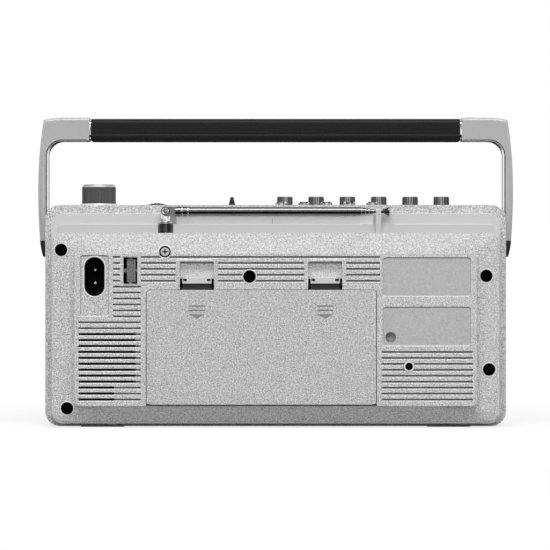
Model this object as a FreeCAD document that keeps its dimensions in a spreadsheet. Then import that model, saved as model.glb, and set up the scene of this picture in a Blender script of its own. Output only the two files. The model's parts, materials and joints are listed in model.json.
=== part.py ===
import FreeCAD, Part

import math
import os
import re

import Sketcher
from FreeCAD import Placement, Rotation, Vector

# Portable radio-cassette player with a swing handle, as an assembly of separate pieces.
# Millimetres. +Z is up, the loudspeaker side faces -Y and the battery side faces +Y.
# The origin is the middle of the surface that the rubber feet stand on.

doc = FreeCAD.newDocument("radio_cassette_player")
sheet = doc.addObject("Spreadsheet::Sheet", "Sizes")

SIZES = {
    # the case
    "case_width": 298,
    "case_depth": 98,
    "case_top": 143.4,
    "foot_proud": 0.5,
    "case_corner": 9.5,
    "wall": 2.2,
    "front_wall": 2.4,
    "front_edge_round": 4,
    "parting_setback": 29,
    "fit_gap": 0.3,
    "press_gap": 0.02,
    "edge_round": 0.4,
    # stair of narrow steps round the rear shell, above the sloped back
    "rim_setback": 22,
    "step_two_setback": 18.5,
    "step_two_drop": 5.5,
    "step_three_setback": 14,
    "step_three_drop": 12.5,
    "slab_setback": 9.2,
    "slab_drop": 18.3,
    "slab_side": 5.4,
    "slab_rise": 2.2,
    "slab_corner": 7,
    "step_side": 0.8,
    "step_under": 0.6,
    "slope_blend": 20,
    "slope_spare": 12,
    # flat pad on the back
    "pad_side": 20.2,
    "pad_drop": 31.4,
    "pad_rise": 13.5,
    "pad_corner": 3,
    "pad_raise": 1,
    "side_slope_rise": 3,
    # battery door and its bay
    "door_middle": 9.1,
    "door_width": 147.4,
    "door_low": 14.5,
    "door_tall": 74,
    "door_corner": 2.5,
    "door_gap": 0.25,
    "door_thick": 2.2,
    "door_edge": 0.35,
    "door_pin": 0.7,
    "door_pin_long": 1.6,
    "pin_end_gap": 0.2,
    "pin_gap": 0.08,
    "bay_wall": 1.6,
    "bay_ledge": 1.6,
    "bay_depth": 38,
    "bay_rib": 1,
    "bay_rib_tall": 5,
    "cell_gap": 0.5,
    "spring_long": 8,
    "spring_radius": 4.5,
    "spring_inner": 3.3,
    "contact_half": 7,
    "contact_thick": 0.6,
    "cell_radius": 17.1,
    "latch_middle_left": 50.4,
    "latch_middle_right": -31.7,
    "latch_pocket_width": 22,
    "latch_pocket_tall": 18.2,
    "latch_width": 13.7,
    "latch_nose": 8.3,
    "latch_lip": 4,
    "latch_thick": 1.8,
    "latch_shoulder": 18.7,
    "latch_play": 0.2,
    "latch_hook": 1.4,
    "latch_catch": 1.6,
    "latch_tail": 11,
    "latch_rail": 1.2,
    "latch_rail_low": 12,
    "latch_rail_high": 2.4,
    "latch_room": 7,
    "mark_width": 10.3,
    "mark_bar": 0.9,
    "mark_deep": 0.35,
    "mark_drop": 10.3,
    "mark_pitch": 2.7,
    "mark_arrow_drop": 15.6,
    "mark_arrow_tall": 2.9,
    "scoop_tall": 11,
    "scoop_deep": 5.2,
    "scoop_round": 2.6,
    "scoop_arc": 3.6,
    "pocket_frame": 0.8,
    "frame_raise": 0.4,
    # grooves and slots in the pad
    "groove_drop": 2.4,
    "groove_pitch": 3.8,
    "groove_tall": 1.2,
    "groove_deep": 1.5,
    "groove_lip": 0.25,
    "groove_inset": 22.8,
    "groove_left_end": 86.3,
    "groove_right_end": -66.8,
    "latch_margin": 13.5,
    "vent_inner": 89.4,
    "vent_split": 103.4,
    "mid_groove_outer": 104,
    "mid_groove_inner": 99.5,
    # mains inlet
    "inlet_inset": 33.1,
    "inlet_high": 97,
    "inlet_width": 13.1,
    "inlet_tall": 25.2,
    "inlet_deep": 20,
    "inlet_wall": 0.6,
    "inlet_frame_side": 2.7,
    "inlet_frame_low": 71.5,
    "inlet_frame_high": 110.7,
    "inlet_frame_corner": 1.8,
    "inlet_frame_deep": 0.6,
    "inlet_lip": 0.7,
    "pin_pitch": 8.6,
    "pin_radius": 1.18,
    "pin_long": 13,
    "pin_shank": 0.9,
    "pin_shoulder": 0.5,
    "pin_tail": 4,
    "inlet_body": 2,
    # knock-out window
    "knockout_apart": 18.5,
    "knockout_wide": 8.9,
    "knockout_low": 92.5,
    "knockout_high": 109.4,
    "knockout_moat": 1.1,
    "knockout_bridge": 2.2,
    # label recesses, left bare
    "label_inner": 68.4,
    "label_inset": 24,
    "label_corner": 2.3,
    "label_deep": 0.5,
    "label_one_low": 84.3,
    "label_one_high": 109.4,
    "label_two_low": 52.6,
    "label_two_high": 77.8,
    "dimple_across": -73.6,
    "dimple_high": 58.2,
    "dimple_radius": 3.4,
    # direct-current jack
    "jack_across": -85.4,
    "jack_high": 39.6,
    "jack_bore": 2.75,
    "jack_collar": 3.6,
    "jack_deep": 10,
    "jack_body": 2,
    "jack_proud": 0.2,
    # case screws
    "well_radius": 4.2,
    "well_wall": 1.4,
    "screw_inset": 23,
    "screw_head": 3.2,
    "screw_head_tall": 2.2,
    "screw_shank": 1.45,
    "screw_long": 16,
    "post_radius": 3.8,
    "inner_post": 2.5,
    "post_inset": 4,
    "cross_wide": 0.9,
    "cross_long": 3.8,
    "cross_deep": 1.2,
    # antenna
    "antenna_across": 70.9,
    "antenna_inset": 14.6,
    "antenna_drop": 4.1,
    "seat_half": 6.5,
    "seat_tall": 20,
    "base_radius": 4.55,
    "lug_tall": 6.4,
    "swivel_radius": 2.5,
    "fixing_high": 113,
    "fixing_recess": 3.9,
    "fixing_inset": 5.6,
    "tip_scoop_across": -65.8,
    "tip_scoop_width": 20.4,
    "tip_scoop_deep": 1.2,
    "tip_scoop_low": 127.5,
    "lug_width": 6,
    "lug_thick": 2.3,
    "root_reach": 15.8,
    "root_ring_pitch": 2.2,
    "root_ring_wide": 0.8,
    "root_ring_proud": 0.35,
    "root_bore": 4,
    "root_flat": 0.2,
    "tube_drop": 0.2,
    "tube_seat": 4.5,
    "tube_nest": 1.5,
    "tube_press": 0.01,
    "ferrule_start": 6.1,
    "ferrule_radius": 3.1,
    "tube_radius": 2.85,
    "tube_step": 0.4,
    "tube_wall": 0.3,
    "tube_end": -55.7,
    "tube_peep": 2.45,
    "tip_radius": 0.85,
    "cap_start": -68.6,
    "cap_end": -73.7,
    "cap_radius": 3,
    "elbow_head": 2.9,
    "elbow_head_tall": 1,
    "elbow_pin": 1.4,
    "elbow_gap": 0.1,
    "elbow_pin_end": 0.3,
    "clip_across": -66.15,
    "clip_width": 3.3,
    "clip_rise": 1,
    "clip_thick": 2.2,
    "clip_gap": 0.15,
    "clip_round": 0.6,
    # handle
    "arm_gap": 0.5,
    "arm_depth": 24,
    "pivot_along": -6,
    "pivot_high": 116,
    "pivot_radius": 3,
    "pivot_long": 10,
    "hub_drop": 6,
    "hub_rise": 4.5,
    "hub_round": 4,
    "handle_top": 201,
    "handle_tall": 15,
    "shoulder_drop": 1.5,
    "arm_bow": 5.9,
    "arm_foot": 3,
    "handle_round": 10,
    "arm_lower_arc": 400,
    "arm_upper_arc": 260,
    "arm_corner_arc": 60,
    "arm_flare": 1.4,
    "arm_bow_in": 0.5,
    "arm_bow_rise": 6,
    "arm_shoulder_in": 3.4,
    "arm_shoulder_reach": 18,
    "hub_in": 0.6,
    "hub_arc": 60,
    "hub_bore": 2.2,
    "grip_inset": 28.3,
    "grip_drop": 0.8,
    "grip_proud": 0.4,
    "grip_depth": 23.4,
    "grip_corner": 3,
    "grip_round": 0.8,
    "grip_screw_deep": 3,
    "grip_screw_seat": 0.8,
    "slot_wide": 0.8,
    "slot_long": 4.8,
    "slot_deep": 1,
    "ferrule_wide": 2.3,
    "ferrule_inset": 0.9,
    "handle_edge": 2,
    "grip_screw_inset": 6.7,
    # top controls
    "knob_inset": 32.9,
    "knob_along": -8,
    "knob_radius": 11.1,
    "knob_tall": 14,
    "knob_skirt": 11.65,
    "knob_skirt_tall": 1.2,
    "knob_cap": 1.8,
    "knob_flutes": 36,
    "knob_shaft": 3,
    "knob_chamfer": 0.9,
    "knob_flute": 0.6,
    "knob_flute_out": 0.35,
    "pot_size": 16,
    "pot_tall": 12,
    "pot_bore": 4.2,
    "wheel_across": 78.8,
    "wheel_radius": 18.5,
    "wheel_proud": 2.5,
    "wheel_inset": 13,
    "wheel_thick": 5,
    "wheel_notch": 0.6,
    "wheel_notch_out": 0.3,
    "wheel_notches": 48,
    "wheel_shaft": 12,
    "capacitor_size": 16,
    "capacitor_deep": 12,
    "capacitor_rise": 7,
    "capacitor_bore": 9,
    "slide_across": 28.7,
    "slide_along": -8,
    "slide_width": 4.3,
    "slide_tall": 6,
    "slide_travel": 6,
    "slide_slot": 4,
    "slide_thick": 3,
    "slide_round": 0.5,
    "slide_plate_wide": 16,
    "slide_plate_deep": 8,
    "slide_plate_thick": 2,
    "slide_plate_gap": 0.4,
    "slide_body_wide": 20,
    "key_middle": -58,
    "key_pitch": 20.75,
    "key_width": 10.5,
    "key_tall": 7.2,
    "key_deep": 14,
    "key_inset": 18,
    "key_round": 1.2,
    "key_travel": 4,
    "key_front": 0.55,
    "key_rear": 0.9,
    "key_slope": 4,
    "key_stem_wide": 5,
    "key_stem_deep": 6,
    "key_stem_low": 6,
    "button_first": -3.5,
    "button_pitch": 14.8,
    "button_radius": 3.8,
    "button_tall": 2.3,
    "button_inset": 2,
    "button_skirt": 3,
    "button_stem_low": 18.4,
    "selector_wide": 7,
    "selector_tall": 17,
    # board under the top deck
    "board_high": 108,
    "board_thick": 1.6,
    "board_inset_left": 19,
    "board_inset_right": 37,
    "board_inset_front": 27,
    "board_inset_back": 33,
    # dial
    "dial_inset_left": 22,
    "dial_inset_right": 39,
    "dial_low": 116,
    "dial_high": 133,
    "dial_window_thick": 1.5,
    "dial_window_lap": 4,
    "dial_deep": 6.5,
    "dial_floor_thick": 1.7,
    "pointer_width": 1.2,
    "pointer_home": 8,
    "pointer_travel": 40,
    "pointer_slot_low": 1,
    "pointer_slot": 3,
    "pointer_spare": 6,
    "pointer_thick": 1.4,
    "pointer_proud": 0.8,
    "pointer_low": 1.4,
    "pointer_foot": 2,
    "carriage_wide": 8,
    "carriage_thick": 1.7,
    "carriage_drop": 1,
    "carriage_rise": 5.6,
    # cassette bay
    "tape_across": -58,
    "tape_door_width": 110,
    "tape_door_low": 32,
    "tape_door_tall": 74,
    "tape_door_thick": 3,
    "tape_hinge_in": 2.5,
    "tape_pin": 0.9,
    "tape_pin_long": 1.6,
    "tape_shelf": 2,
    "tape_cheek_drop": 8,
    "pane_wide": 73.8,
    "pane_drop": 20.1,
    "pane_thick": 1.2,
    "pane_gap": 0.1,
    "pane_lap": 3,
    "cheek_deep": 13,
    "cheek_thick": 2,
    "deck_inset": 18,
    "deck_thick": 1.5,
    "deck_margin": 7,
    "deck_drop": 2,
    "deck_pin": 1.2,
    "deck_pin_long": 8,
    "deck_pin_reach": 38,
    "deck_pin_rise": 16,
    "spindle_high": 68,
    "spindle_apart": 42.5,
    "spindle_radius": 4.4,
    "reel_table": 12,
    "reel_thick": 1.7,
    "reel_gap": 0.3,
    "reel_shaft": 1.5,
    "reel_long": 12,
    "spline_thick": 1.2,
    "spline_proud": 1.2,
    "capstan_across": -36,
    "capstan_high": 91,
    "capstan_radius": 1.2,
    "flywheel_radius": 15,
    "flywheel_gap": 3,
    "flywheel_thick": 5,
    "roller_radius": 5,
    "roller_gap": 0.8,
    "roller_pin": 1,
    "roller_pin_long": 9,
    "roller_long": 8,
    "shaft_reach": 10,
    "head_wide": 12,
    "head_deep": 10,
    "head_low": 12,
    "head_top": 3,
    "head_round": 2,
    "head_bracket": 2,
    "head_bracket_low": 10,
    "motor_across": -92,
    "motor_high": 50,
    "motor_radius": 13,
    "motor_long": 22,
    "motor_gap": 6.5,
    "motor_round": 2,
    "motor_post": 1.5,
    "motor_post_apart": 18,
    "motor_bore": 5.5,
    "pulley_radius": 4,
    "pulley_half": 1.8,
    "pulley_shaft": 1,
    "pulley_room": 2,
    "groove_half": 1,
    "belt_slack": 0.05,
    "belt_thick": 1.2,
    # loudspeaker
    "speaker_across": 76,
    "speaker_high": 60,
    "speaker_radius": 50,
    "speaker_opening": 46,
    "speaker_deep": 35,
    "magnet_radius": 28,
    "cone_deep": 8,
    "cap_radius_front": 10,
    "cap_deep": 10,
    "cone_edge": 9,
    "surround_edge": 5,
    "surround_in": 2,
    "surround_rise": 0.3,
    "surround_arc": 3,
    "basket_thick": 2,
    "basket_deep": 3,
    "magnet_deep": 14,
    "grille_width": 118,
    "grille_low": 12,
    "grille_high": 108,
    "grille_thick": 1.2,
    "grille_slots": 15,
    "grille_pitch": 5.6,
    "grille_slot": 2.6,
    "grille_margin": 10,
    # other pieces inside
    "transformer_share": 0.36533,
    "transformer_high": 40,
    "transformer_wide": 34,
    "transformer_tall": 40,
    "transformer_deep": 30,
    "winding_proud": 5,
    "winding_side": 4,
    "winding_end": 6,
    "transformer_foot": 3,
    # feet
    "foot_long": 28,
    "foot_wide": 5.6,
    "foot_thick": 1.7,
    "foot_inset": 37,
    "front_foot_inset": 9,
    "rear_foot_inset": 25.5,
}

# Places that follow other sizes, so that a piece stays with the wall or the part that carries it.
PLACES = {
    "inlet_middle": "case_width / 2 - inlet_inset",
    "knockout_left": "inlet_middle - knockout_apart",
    "knockout_right": "knockout_left - knockout_wide",
    "groove_outer": "case_width / 2 - groove_inset",
    "label_outer": "case_width / 2 - label_inset",
    "screw_seat": "case_depth / 2 - screw_inset",
    "antenna_along": "case_depth / 2 - antenna_inset",
    "fixing_seat": "case_depth / 2 - fixing_inset",
    "antenna_high": "case_top - antenna_drop",
    "base_top": "antenna_high - lug_tall",
    "clip_high": "antenna_high + clip_rise",
    "hub_low": "pivot_high - hub_drop",
    "hub_top": "pivot_high + hub_rise",
    "handle_under": "handle_top - handle_tall",
    "handle_shoulder": "handle_top - shoulder_drop",
    "grip_half": "case_width / 2 - grip_inset",
    "grip_top": "handle_top - grip_drop",
    "grip_under": "handle_under - grip_proud",
    "grip_screw_across": "grip_half - grip_screw_inset",
    "knob_across": "case_width / 2 - knob_inset",
    "knob_top": "case_top + knob_tall",
    "wheel_front": "wheel_inset - case_depth / 2",
    "key_along": "key_inset - case_depth / 2",
    "board_left": "case_width / 2 - board_inset_left",
    "board_right": "board_inset_right - case_width / 2",
    "board_front": "board_inset_front - case_depth / 2",
    "board_back": "case_depth / 2 - board_inset_back",
    "button_along": "board_back - button_inset",
    "dial_left": "case_width / 2 - dial_inset_left",
    "dial_right": "dial_inset_right - case_width / 2",
    "dial_floor": "dial_deep - case_depth / 2",
    "deck_front": "deck_inset - case_depth / 2",
    "flywheel_front": "deck_front + flywheel_gap",
    "tub_side": "door_middle + door_width / 2 + bay_wall",
    "transformer_across": "tub_side + (case_width / 2 - tub_side) * transformer_share",
    "foot_across": "case_width / 2 - foot_inset",
    "front_foot_along": "front_foot_inset - case_depth / 2",
    "rear_foot_along": "case_depth / 2 - rear_foot_inset",
}

for row, (alias, value) in enumerate(SIZES.items(), start=1):
    sheet.set(f"A{row}", alias)
    sheet.set(f"B{row}", str(value))
    sheet.setAlias(f"B{row}", alias)
doc.recompute()


def bound(text):
    """An expression of plain size names, written the way the sheet's aliases are referred to."""
    return re.sub(r"[a-z_]+", lambda word: prefixed(word.group()), str(text))


def prefixed(word):
    """A size as the sheet names it, a place as its own expression, anything else as it stands."""
    if word in PLACES:
        return f"({bound(PLACES[word])})"
    return "Sizes." + word if word in SIZES else word


def size(text):
    """The present value of an expression of size names."""
    return float(sheet.evalExpression(bound(text)))


SLOPED = 45


class Piece:
    """One sub-part: a PartDesign body whose features follow the Sizes sheet."""

    def __init__(self, label):
        self.label = label
        self.body = doc.addObject("PartDesign::Body", label)
        self.body.Label = label
        self.features = 0

    def place(self, across="0", along="0", up="0"):
        for name, text in (("x", across), ("y", along), ("z", up)):
            self.body.setExpression("Placement.Base." + name, bound(text))
        return self

    def add(self, kind, name):
        self.features += 1
        return self.body.newObject(kind, f"{self.label}_{name}_{self.features}")

    def finish(self, feature):
        self.body.Tip = feature
        doc.recompute()
        if "Invalid" in feature.State or "Error" in feature.State:
            raise ValueError(f"{feature.Label} failed: {feature.getStatusString()}")
        return feature

    # sketches -------------------------------------------------------------------------

    def sketch(self, plane, offset):
        """A sketch on an origin plane. XZ sketches look along +Y, so their normal is -Y."""
        sketch = self.add("Sketcher::SketchObject", "sketch")
        role = plane + "_Plane"
        origin = next(face for face in self.body.Origin.OriginFeatures if face.Role == role)
        sketch.AttachmentSupport = [(origin, "")]
        sketch.MapMode = "FlatFace"
        sign = "-" if plane == "XZ" else ""
        sketch.setExpression("AttachmentOffset.Base.z", bound(f"{sign}({offset})"))
        return sketch

    def measure(self, sketch, kind, *where, text):
        """A driving dimension bound to an expression of size names."""
        index = sketch.addConstraint(Sketcher.Constraint(kind, *where, size(text)))
        sketch.setExpression(f"Constraints[{index}]", bound(text))

    def pin(self, sketch, geometry, point, across, up):
        self.measure(sketch, "DistanceX", -1, 1, geometry, point, text=across)
        self.measure(sketch, "DistanceY", -1, 1, geometry, point, text=up)

    def arc(self, sketch, across, up, radius, begin, end):
        """An arc with its centre, its radius and both ends held square to the centre."""
        middle = Vector(size(across), size(up), 0)
        circle = Part.Circle(middle, Vector(0, 0, 1), size(radius))
        arc = sketch.addGeometry(Part.ArcOfCircle(circle, math.radians(begin), math.radians(end)))
        self.pin(sketch, arc, 3, across, up)
        self.measure(sketch, "Radius", arc, text=radius)
        for point, angle in ((1, begin), (2, end)):
            level = "Horizontal" if angle % 180 == 0 else "Vertical"
            sketch.addConstraint(Sketcher.Constraint(level, arc, 3, arc, point))
        return arc

    def join(self, sketch, arcs):
        """Straight lines from each arc's end to the next arc's start."""
        for first, second in zip(arcs, arcs[1:] + arcs[:1]):
            start = sketch.getPoint(first, 2)
            end = sketch.getPoint(second, 1)
            line = sketch.addGeometry(Part.LineSegment(start, end))
            sketch.addConstraint(Sketcher.Constraint("Coincident", first, 2, line, 1))
            sketch.addConstraint(Sketcher.Constraint("Coincident", line, 2, second, 1))

    def rounded(self, plane, offset, left, right, low, high, corner):
        """A rectangle with four equal round corners."""
        sketch = self.sketch(plane, offset)
        self.round_off(sketch, left, right, low, high, corner)
        return sketch

    def round_off(self, sketch, left, right, low, high, corner):
        corners = (
            (f"({left}) + ({corner})", f"({low}) + ({corner})", 180, 270),
            (f"({right}) - ({corner})", f"({low}) + ({corner})", 270, 360),
            (f"({right}) - ({corner})", f"({high}) - ({corner})", 0, 90),
            (f"({left}) + ({corner})", f"({high}) - ({corner})", 90, 180),
        )
        self.join(sketch, [self.arc(sketch, *where[:2], corner, *where[2:]) for where in corners])

    def stadium(self, plane, offset, across, low, high, radius):
        """An upright slot with half-round ends."""
        sketch = self.sketch(plane, offset)
        under = self.arc(sketch, across, f"({low}) + ({radius})", radius, 180, 360)
        over = self.arc(sketch, across, f"({high}) - ({radius})", radius, 0, 180)
        self.join(sketch, [under, over])
        return sketch

    def circle(self, plane, offset, across, up, radius):
        sketch = self.sketch(plane, offset)
        middle = Vector(size(across), size(up), 0)
        circle = sketch.addGeometry(Part.Circle(middle, Vector(0, 0, 1), size(radius)))
        self.pin(sketch, circle, 3, across, up)
        self.measure(sketch, "Radius", circle, text=radius)
        return sketch

    def outline(self, plane, offset, points):
        """A closed outline. A third entry is the radius of the arc from that point to the next,
        positive where the arc bulges to the right of the way round."""
        sketch = self.sketch(plane, offset)
        ends = []
        places = [Vector(size(point[0]), size(point[1]), 0) for point in points]
        for index, point in enumerate(points):
            start, end = places[index], places[(index + 1) % len(points)]
            if len(point) == 2:
                line = sketch.addGeometry(Part.LineSegment(start, end))
                ends.append((line, 1, 2))
            else:
                ends.append(self.bulge(sketch, start, end, point[2]))
        for index, (edge, _, last) in enumerate(ends):
            follower, first, _ = ends[(index + 1) % len(ends)]
            sketch.addConstraint(Sketcher.Constraint("Coincident", edge, last, follower, first))
        for (edge, first, _), point in zip(ends, points):
            self.pin(sketch, edge, first, point[0], point[1])
        return sketch

    def bulge(self, sketch, start, end, radius):
        turn = 1 if size(radius) > 0 else -1
        reach = abs(size(radius))
        chord = end - start
        aside = Vector(-chord.y, chord.x, 0).normalize() * turn
        middle = (start + end) / 2 + aside * math.sqrt(reach**2 - chord.Length**2 / 4)
        begin, stop = (start, end) if turn > 0 else (end, start)
        angles = [math.atan2(spot.y - middle.y, spot.x - middle.x) for spot in (begin, stop)]
        circle = Part.Circle(middle, Vector(0, 0, 1), reach)
        arc = sketch.addGeometry(Part.ArcOfCircle(circle, *angles))
        self.measure(sketch, "Radius", arc, text=f"abs({radius})")
        return (arc, 1, 2) if turn > 0 else (arc, 2, 1)

    # features -------------------------------------------------------------------------

    def sweep(self, kind, sketch, length, reverse, middle, taper=0):
        feature = self.add("PartDesign::" + kind, kind.lower())
        feature.Profile = sketch
        feature.Reversed = reverse
        feature.Midplane = middle
        feature.TaperAngle = taper
        feature.setExpression("Length", bound(length))
        return self.finish(feature)

    def pad(self, sketch, length, reverse=False, middle=False, taper=0):
        """Material along the sketch's normal, or against it where reverse is set."""
        return self.sweep("Pad", sketch, length, reverse, middle, taper)

    def pocket(self, sketch, length, reverse=False, middle=False):
        """A cut against the sketch's normal, or along it where reverse is set."""
        before = self.body.Shape.Volume
        feature = self.sweep("Pocket", sketch, length, reverse, middle)
        if self.body.Shape.Volume > before - 1e-6:
            raise ValueError(feature.Label + " cuts nothing")
        return feature

    def turned(self, sketch, about, cut=False):
        """A full turn of a sketch about one of its own axes, H_Axis or V_Axis."""
        kind = "Groove" if cut else "Revolution"
        feature = self.add("PartDesign::" + kind, kind.lower())
        feature.Profile = sketch
        feature.ReferenceAxis = (sketch, [about])
        feature.Angle = 360
        return self.finish(feature)

    def block(self, left, right, front, back, low, high, cut=False):
        """A box between six faces, or a cut of that shape."""
        feature = self.add(f"PartDesign::{'Subtractive' if cut else 'Additive'}Box", "block")
        spans = (("Length", "x", left, right), ("Width", "y", front, back), ("Height", "z", low, high))
        for side, name, start, end in spans:
            feature.setExpression(side, bound(f"({end}) - ({start})"))
            feature.setExpression("Placement.Base." + name, bound(start))
        return self.finish(feature)

    def rod(self, axis, first, second, start, end, radius, cut=False):
        """A cylinder along X, Y or Z. first and second place its axis in the plane across it."""
        feature = self.add(f"PartDesign::{'Subtractive' if cut else 'Additive'}Cylinder", "rod")
        turns = {"X": Rotation(Vector(0, 1, 0), 90), "Y": Rotation(Vector(1, 0, 0), -90), "Z": Rotation()}
        names = {"X": ("x", "y", "z"), "Y": ("y", "x", "z"), "Z": ("z", "x", "y")}
        feature.Placement = Placement(Vector(), turns[axis])
        for name, text in zip(names[axis], (start, first, second)):
            feature.setExpression("Placement.Base." + name, bound(text))
        feature.setExpression("Radius", bound(radius))
        feature.setExpression("Height", bound(f"({end}) - ({start})"))
        return self.finish(feature)

    def axis(self, name):
        return next(line for line in self.body.Origin.OriginFeatures if line.Role == name + "_Axis")

    def repeat(self, feature, axis, step, count):
        """A linear pattern of one feature along the body's X, Y or Z axis."""
        pattern = self.add("PartDesign::LinearPattern", "pattern")
        pattern.Originals = [feature]
        pattern.Direction = (self.axis(axis), [""])
        pattern.Occurrences = count
        pattern.setExpression("Length", bound(f"abs({step}) * {count - 1}"))
        pattern.Reversed = size(step) < 0
        return self.finish(pattern)

    def combine(self, kind, tool):
        """Fuses another body's shape with this one, or cuts it out."""
        feature = self.add("PartDesign::Boolean", kind.lower())
        feature.setObjects([tool.body])
        feature.Type = kind
        return self.finish(feature)

    def ring(self, feature, count):
        """A polar pattern of one feature about the body's Z axis."""
        pattern = self.add("PartDesign::PolarPattern", "ring")
        pattern.Originals = [feature]
        pattern.Axis = (self.axis("Z"), [""])
        pattern.Occurrences = count
        pattern.Angle = 360
        return self.finish(pattern)

    def dress(self, kind, amount, chosen):
        """A fillet or chamfer on the edges that the chosen test picks."""
        base = self.body.Tip
        names = [f"Edge{n}" for n, edge in enumerate(base.Shape.Edges, start=1) if chosen(edge)]
        if not names:
            raise ValueError(f"no edge to {kind.lower()} on {self.label}")
        feature = self.add("PartDesign::" + kind, kind.lower())
        feature.Base = (base, names)
        feature.setExpression("Radius" if kind == "Fillet" else "Size", bound(amount))
        return self.finish(feature)


def spans(edge, axis):
    """The edge's extent along an axis: 0 for x, 1 for y, 2 for z."""
    box = edge.BoundBox
    return ((box.XMin, box.XMax), (box.YMin, box.YMax), (box.ZMin, box.ZMax))[axis]


def lies_at(axis, text):
    """A test for edges that lie in the plane where one coordinate has the given value."""
    value = size(text)
    return lambda edge: all(abs(end - value) < 1e-4 for end in spans(edge, axis))


# Places that several pieces share, as expressions of the sizes. ------------------------

half_width = "case_width / 2"
rear_face = "case_depth / 2"
front_face = "-case_depth / 2"
parting = "(case_depth / 2 - parting_setback)"
rim_face = "(case_depth / 2 - rim_setback)"
slab_face = "(case_depth / 2 - slab_setback)"
slab_half = "(case_width / 2 - slab_side)"
slab_low = "(foot_proud + slab_rise)"
slab_top = "(case_top - slab_drop)"
pad_half = "(case_width / 2 - pad_side)"
pad_low = "(foot_proud + pad_rise)"
pad_top = "(case_top - pad_drop)"
pad_base = "(case_depth / 2 - pad_raise)"
pad_inside = "(case_depth / 2 - wall)"
door_left = "(door_middle + door_width / 2)"
door_right = "(door_middle - door_width / 2)"
door_top = "(door_low + door_tall)"

latch_top = "(door_low + door_tall + latch_pocket_tall)"
scoop_low = "(door_low + door_tall + latch_pocket_tall - scoop_tall)"
sheltered = f"({slab_face} - edge_round)"
pad_boss_end = f"({pad_inside} + wall / 2)"

# Each case screw: across, up, and where its well's boss ends under the outer skin.
SCREWS = (
    ("(case_width / 2 - 11.2)", "114.2", sheltered),
    ("16.7", "97.1", pad_boss_end),
    ("-(case_width / 2 - 13.7)", "97.5", sheltered),
    ("-(case_width / 2 - 11.9)", "37.4", sheltered),
    ("(case_width / 2 - 15.1)", "12.4", sheltered),
)
LATCHES = {"left": "latch_middle_left", "right": "latch_middle_right"}


def case_outline(piece, offset, inset="0"):
    """The outline of the whole case, drawn in by an inset."""
    return piece.rounded(
        "XZ", offset, f"-({half_width}) + {inset}", f"{half_width} - {inset}",
        f"foot_proud + {inset}", f"case_top - {inset}", f"case_corner - {inset}",
    )


def step_outline(piece, offset, drop, steps_out, inset="0"):
    """The outline of one step of the stair, drawn in by an inset."""
    half = f"({slab_half} + step_side * {steps_out} - {inset})"
    corner = f"slab_corner + step_side * {steps_out} - {inset}"
    return piece.rounded(
        "XZ", offset, f"-{half}", half, f"{slab_low} - step_under * {steps_out} + {inset}",
        f"case_top - {drop} - {inset}", corner,
    )


def rear_shell():
    """The rear shell: a stepped edge, a sloped border and a flat pad full of openings."""
    shell = Piece("rear_shell")
    slope_border(shell)
    shell.pad(case_outline(shell, rim_face), f"{rim_face} - {parting}")
    for setback, drop, steps_out in (
        ("step_two_setback", "step_two_drop", 2),
        ("step_three_setback", "step_three_drop", 1),
    ):
        face = f"({rear_face} - {setback})"
        shell.pad(step_outline(shell, face, drop, steps_out), f"{face} - {parting}")
    pad_outline = ("XZ", rear_face, f"-{pad_half}", pad_half, pad_low, pad_top, "pad_corner")
    shell.pad(shell.rounded(*pad_outline), f"{rear_face} - {slab_face}")
    round_steps(shell)
    hollow(shell)
    bosses, openings = Piece("rear_bosses"), Piece("rear_openings")
    screw_wells(bosses, openings)
    battery_opening(bosses, openings)
    antenna_seat(bosses, openings)
    inlet_opening(openings)
    label_recesses(openings)
    openings.rod("Y", "jack_across", "jack_high", f"{pad_inside} - 1", f"{rear_face} + 1",
                 "jack_collar + pin_gap")
    grooves_and_vents(openings)
    knockout_window(openings)
    for across in ("foot_across", "-foot_across"):
        foot_block(openings, across, "rear_foot_along", "-1")
    shell.combine("Fuse", bosses)
    shell.combine("Cut", openings)
    shell.combine("Fuse", knockout_plate())
    return shell


def slope_border(shell):
    """Four planes that slope up to the pad, blended where they meet, then trimmed to the slab."""
    spare = "slope_spare"
    half = f"({slab_half} + {spare})"
    shell.block(f"-{half}", half, parting, pad_base, f"{slab_low} - {spare}", f"{slab_top} + {spare}")
    crown_rise = f"({pad_base} - {slab_face})"
    beyond = f"{pad_base} + {spare}"
    for inner, edge, side in ((pad_top, slab_top, "1"), (pad_low, slab_low, "-1")):
        fall = f"({slab_face} - {crown_rise} * {spare} / abs({edge} - {inner}))"
        reach = f"({edge} + {side} * {spare})"
        points = [(pad_base, inner), (fall, reach), (beyond, reach), (beyond, inner)]
        shell.pocket(shell.outline("YZ", "0", points), "case_width * 2", middle=True)
    slope = f"side_slope_rise / ({slab_half} - {pad_half})"
    for side in ("", "-"):
        crown = f"{side}({slab_half} - {crown_rise} / ({slope}))"
        reach = f"{side}{half}"
        fall = f"({slab_face} - {spare} * {slope})"
        points = [(crown, pad_base), (reach, fall), (reach, beyond), (crown, beyond)]
        shell.pocket(shell.outline("XY", "0", points), "case_top * 4", middle=True)
    shell.dress("Fillet", "slope_blend", is_slope_corner)
    trim = step_outline(shell, pad_base, "slab_drop", 0)
    around = f"({half} + 1)"
    shell.round_off(trim, f"-{around}", around, f"{slab_low} - {spare} - 1",
                    f"{slab_top} + {spare} + 1", "1")
    shell.pocket(trim, f"{pad_base} - {parting}", reverse=True)


def is_slope_corner(edge):
    """The edges where a side slope meets the top or bottom slope."""
    return all(high - low > 0.5 for low, high in (spans(edge, axis) for axis in range(3)))


def round_steps(shell):
    """The small radius on each step's outer edge that catches the light."""
    shell.dress("Fillet", "edge_round", outer_edge("rim_setback", "step_two_drop", 2))
    shell.dress("Fillet", "edge_round", outer_edge("step_two_setback", "step_three_drop", 1))
    shell.dress("Fillet", "edge_round", outer_edge("step_three_setback", "slab_drop", 0))
    shell.dress("Fillet", "edge_round", lies_at(1, rear_face))


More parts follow.
